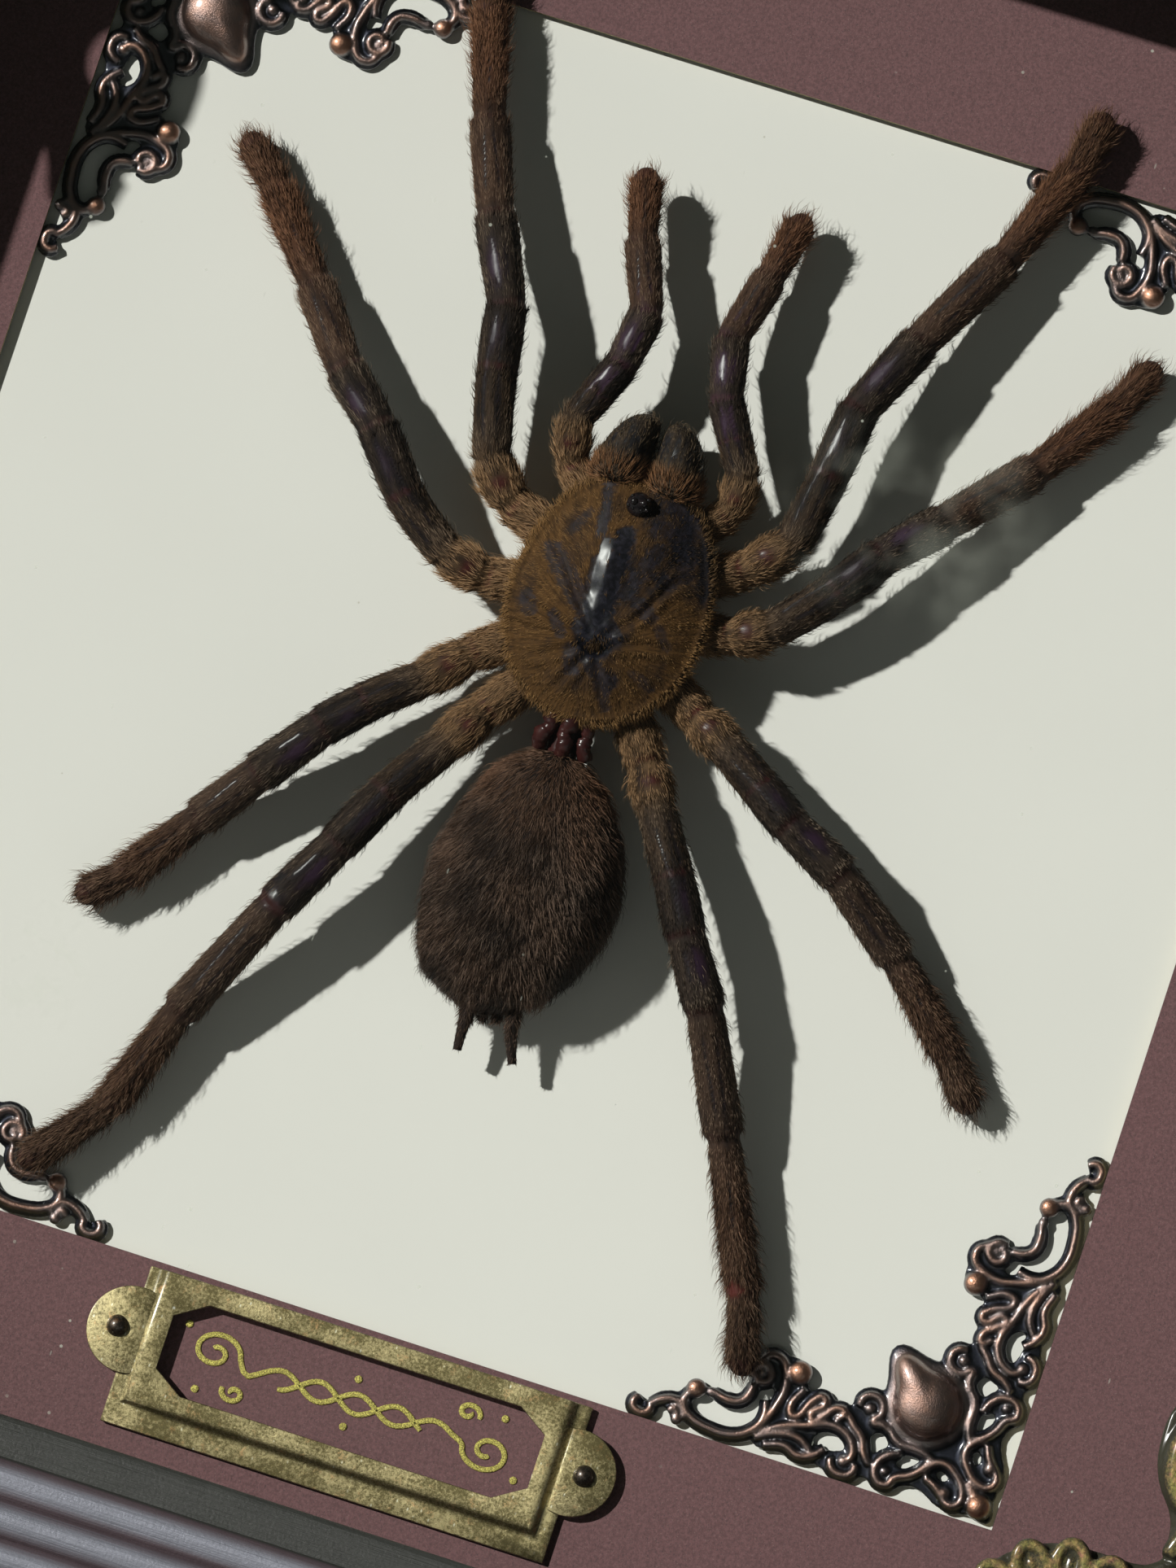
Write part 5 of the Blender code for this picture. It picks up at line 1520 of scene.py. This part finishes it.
carried = {"rust": 0.35 * rim, "gold": np.clip(1.0 - 0.85 * dusky, 0.0, 1.0),
           "tone": 0.55 + 0.35 * tangle + 0.35 * ripple(uv, 0.15, 78) + 0.2 * rim - 0.3 * dusky}
density = np.where(is_top, 22.0, 3.0) * (1.0 - 0.97 * bald) * (1.0 + 0.2 * tangle)
down = coat("down", shield, outward, density, 0.70 + 0.35 * rim, 6.0 + 9.0 * rim + 5.0 * tangle, 0.042,
            71, carried, sway=0.16)
mark(shield, dusk=np.clip(0.95 * dusky + pit_ring, 0.0, 1.0), out=pit_far,
     round=np.radians(pit_angle) * 6.0)
fringe = coat("fringe", shield, outward, 18.0 * rim * hump(share, 0.985, 0.03), 1.25, 18.0, 0.038,
              72, carried, True)
tuft = coat("tuft", shield, outward * 0.3, 60.0 * hump(uv[:, 0], 1.25, 0.55)
            * hump(uv[:, 1], 5.6, 0.45) * is_top, 0.9, 50.0, 0.06, 73, carried)
shield_shell = shell_finish("shield_shell", (0.006, 0.006, 0.009), (0.018, 0.017, 0.026),
                            (0.092, 0.045, 0.015), 0.31)
shield_hair = hair_finish("shield_hair", (0.065, 0.033, 0.012), (0.028, 0.017, 0.010),
                          (0.080, 0.051, 0.029), (0.36, 0.21, 0.10), (0.255, 0.136, 0.050))
glossy_shell = shell_finish("bare_shell", (0.005, 0.004, 0.005), (0.014, 0.009, 0.010),
                            (0.02, 0.012, 0.009), 0.20, 0.03)
mounted(shield, "front_body_shield", shield_shell, "golden_fur", "front_body")
mounted(glossy, "eyes_and_waist", glossy_shell, "golden_fur")
mounted(joined([tuft, fringe, down]), "front_body_down", shield_hair, "golden_fur")

# %% [markdown]
# The fang bases bulge out in front: two smooth lobes with fine streaked pile over the dark shell
# and a band of orange hair where they leave the shield. The rear body is a fat oval of long, dark,
# dense fur that lies towards the spinnerets. Both are spheres pressed through measured sections.


# %% Lobes through sections
def lobe(name, sections, middle_u, segments, rings):
    """A sphere pressed along v through sections (v, u, half u, w, half w)."""
    alone()
    bpy.ops.mesh.primitive_uv_sphere_add(segments=segments, ring_count=rings, radius=1.0)
    body = bpy.context.object
    body.name = name
    ball = points_of(body)
    table = np.array(sections)
    angle = np.arctan2(ball[:, 0], ball[:, 1])
    slide = (1.0 - ball[:, 2]) / 2.0
    v = table[0, 0] + (table[-1, 0] - table[0, 0]) * slide
    order = np.argsort(table[:, 0])
    columns = [np.interp(v, table[order, 0], table[order, k]) for k in range(1, 5)]
    closing = np.clip(np.sin(np.arccos(np.clip(ball[:, 2], -1.0, 1.0))) / 0.55, 0.0, 1.0) ** 0.55
    places = np.column_stack([middle_u + columns[0] + columns[1] * np.sin(angle) * closing, v,
                              columns[2] + columns[3] * np.cos(angle) * closing])
    put_points(body, places)
    shaped(body, "REMESH", mode="VOXEL", voxel_size=0.3)
    shaped(body, "SMOOTH", factor=0.5, iterations=6)
    bpy.ops.object.shade_smooth()
    return body


FANG_SECTIONS = ((20.6, -2.85, 2.35, 5.8, 2.6), (22.0, -2.80, 2.55, 5.8, 3.0), (23.6, -2.70, 2.50, 5.6, 3.3),
                 (25.3, -2.45, 2.28, 5.3, 3.4), (26.7, -2.10, 1.90, 5.0, 3.1), (27.7, -1.75, 1.40, 4.8, 2.4),
                 (28.3, -1.5, 0.8, 4.6, 1.5))
FANGS_MIDDLE = 0.72
fang_shell = shell_finish("fang_shell", (0.007, 0.007, 0.009), (0.020, 0.019, 0.022),
                          (0.050, 0.034, 0.023))
fang_hair = hair_finish("fang_hair", (0.030, 0.020, 0.014), (0.038, 0.026, 0.018),
                        (0.120, 0.084, 0.056), (0.27, 0.125, 0.055), (0.17, 0.115, 0.066))
for side, inner in (("left", 1), ("right", -1)):
    name = f"chelicera_{side}"
    sections = [(v, inner * u, half_u, w, half_w) for v, u, half_u, w, half_w in FANG_SECTIONS]
    fang = lobe(name, sections, FANGS_MIDDLE, 48, 32)
    places = points_of(fang)
    band = 1.0 - step_up(places[:, 1], 22.4, 24.0)
    high = step_up(places[:, 2], 4.0, 6.0)
    streaks = np.clip(1.4 * hump(ripple(np.column_stack([places[:, 0] * 2.4, places[:, 1] * 0.5]),
                                        0.32, 5 + inner), 0.0, 0.14) - 0.2, 0.0, 0.9)
    crown = step_up(places[:, 1], 22.8, 24.2) * (1.0 - step_up(places[:, 1], 26.4, 27.6))
    bald = streaks * crown * high
    tufts = ripple(np.column_stack([places[:, 0] * 1.6, places[:, 1] * 0.6]), 0.45, 15 + inner)
    mark(fang, bald=bald, red=0.0, dusk=np.clip(0.3 - 0.9 * tufts, 0.0, 0.8) * (1.0 - band),
         out=places[:, 1], round=places[:, 0])
    flow = np.tile((0.0, 1.0, -0.15), (len(places), 1))
    carried = {"rust": 0.95 * band, "gold": 0.65 * (1.0 - band), "tone": 0.5 + 0.5 * tufts}
    pile = coat("pile", fang, flow, 19.0 * (1.0 - 0.9 * bald) * (0.22 + 0.78 * high), 0.70 + 0.8 * band,
                6.0 + 18.0 * band + 5.0 * tufts, 0.042, 80 + inner, carried, sway=0.12)
    guard = coat("guard", fang, flow, 0.9 + 2.6 * band, 1.2 + 0.2 * band, 34.0, 0.032, 84 + inner,
                 carried, True)
    fur = joined([guard, pile])
    mounted(fang, f"{name}_skin", fang_shell, "jaw_fur", name)
    mounted(fur, f"{name}_fur", fang_hair, "jaw_fur")

# %% The rear body and its spinnerets
REAR_SECTIONS = (
    (-5.2, 1.1, 3.4, 4.5, 2.4), (-6.8, 1.1, 4.5, 4.7, 3.3), (-9.0, 1.4, 6.2, 4.9, 4.0),
    (-13.0, 1.8, 8.2, 5.0, 4.5), (-17.5, 1.9, 9.2, 5.0, 4.6), (-21.5, 1.7, 8.9, 4.9, 4.5),
    (-25.5, 1.2, 7.7, 4.6, 4.0), (-28.7, 0.8, 5.8, 4.2, 3.1), (-30.7, 0.5, 3.6, 3.8, 2.2))
rear = lobe("abdomen", REAR_SECTIONS, 0.0, 96, 64)
spinner = wire_curve("spinners", [
    [(0.3, -28.6, 3.6, 1.5), (0.3, -30.9, 3.8, 1.45), (0.35, -32.0, 3.8, 1.2), (0.4, -33.4, 3.7, 0.95),
     (0.5, -34.9, 3.5, 0.8)],
    [(4.1, -28.4, 3.6, 1.5), (4.7, -30.6, 3.8, 1.4), (4.9, -31.7, 3.8, 1.15), (5.3, -33.0, 3.7, 0.95),
     (5.9, -34.6, 3.5, 0.8)],
    [(1.8, -29.2, 3.2, 1.0), (1.8, -30.6, 3.2, 1.0), (1.8, -31.6, 3.1, 0.8)],
    [(3.1, -29.0, 3.2, 1.0), (3.1, -30.4, 3.2, 1.0), (3.2, -31.3, 3.1, 0.8)]], 0.52, 3.5)
places = points_of(rear)
up_share = step_up(places[:, 2], 2.5, 5.0)
front = 1.0 - step_up(-places[:, 1], 5.0, 17.0)
flow = np.column_stack([0.10 * (places[:, 0] - 1.0), np.full(len(places), -1.0),
                        -0.06 * np.abs(places[:, 0] - 1.0)])
whorl = ripple(places[:, :2], 0.12, 61)
# The sheen is a painted sheen, a lighter band along the right middle of the fur. Past u = 6.5 the felt, and
# past u = 7.2 the hair tone, go dark: painted shade on the right flank, which is turned away from the lamp.
sheen = hump(places[:, 0], 5.8, 1.9) * (1.0 - step_up(-places[:, 1], 22.0, 29.0))
mark(rear, bald=0.0, red=0.0, out=-places[:, 1], round=places[:, 0],
     dusk=np.clip(0.2 - 0.6 * whorl + 0.8 * step_up(places[:, 0], 6.5, 8.5), 0.0, 0.9))
locks = ripple(np.column_stack([places[:, 0] * 1.1, places[:, 1] * 0.45]), 0.5, 62)
flow[:, 0] += 0.22 * locks + 0.25 * whorl
carried = {"rust": np.clip(0.20 + 0.55 * front + 0.3 * whorl, 0.0, 1.0), "gold": 0.0,
           "tone": 0.46 + 0.40 * locks + 0.35 * whorl + 0.55 * sheen + 0.15 * front
           - 0.5 * step_up(places[:, 0], 7.2, 9.0)}
fur = coat("fur", rear, flow, 32.0 * (0.16 + 0.84 * up_share), 1.35 + 0.2 * locks,
           11.0 + 6.0 * whorl + 5.0 * locks, 0.032, 91, carried, sway=0.14)
guard = coat("guard", rear, flow, 3.4 * (0.3 + 0.7 * up_share), 2.3 + 0.3 * whorl, 24.0 + 6.0 * whorl,
             0.028, 92, carried, True)
spin_places = points_of(spinner)
mark(spinner, bald=0.3, red=0.0, dusk=0.0, out=spin_places[:, 1], round=spin_places[:, 0])
spin_flow = np.tile((0.0, -1.0, 0.0), (len(spin_places), 1))
spin_hairy = 1.0 - step_up(-spin_places[:, 1], 31.0, 33.5)
spin_fur = coat("spin_fur", spinner, spin_flow, 14.0 + 6.0 * spin_hairy, 0.45 + 0.5 * spin_hairy,
                18.0 + 14.0 * spin_hairy, 0.042, 93, {"rust": 0.25, "gold": 0.0, "tone": 0.5})
rear_shell = shell_finish("rear_shell", (0.008, 0.006, 0.006), (0.016, 0.012, 0.012),
                          (0.030, 0.019, 0.015))
rear_hair = hair_finish("rear_hair", (0.024, 0.014, 0.010), (0.022, 0.014, 0.010),
                        (0.185, 0.132, 0.104), (0.190, 0.088, 0.046), (0.2, 0.12, 0.06))
mounted(joined([spinner, rear]), "abdomen_skin", rear_shell, "dark_fur", "abdomen")
mounted(joined([spin_fur, guard, fur]), "abdomen_fur", rear_hair, "dark_fur")
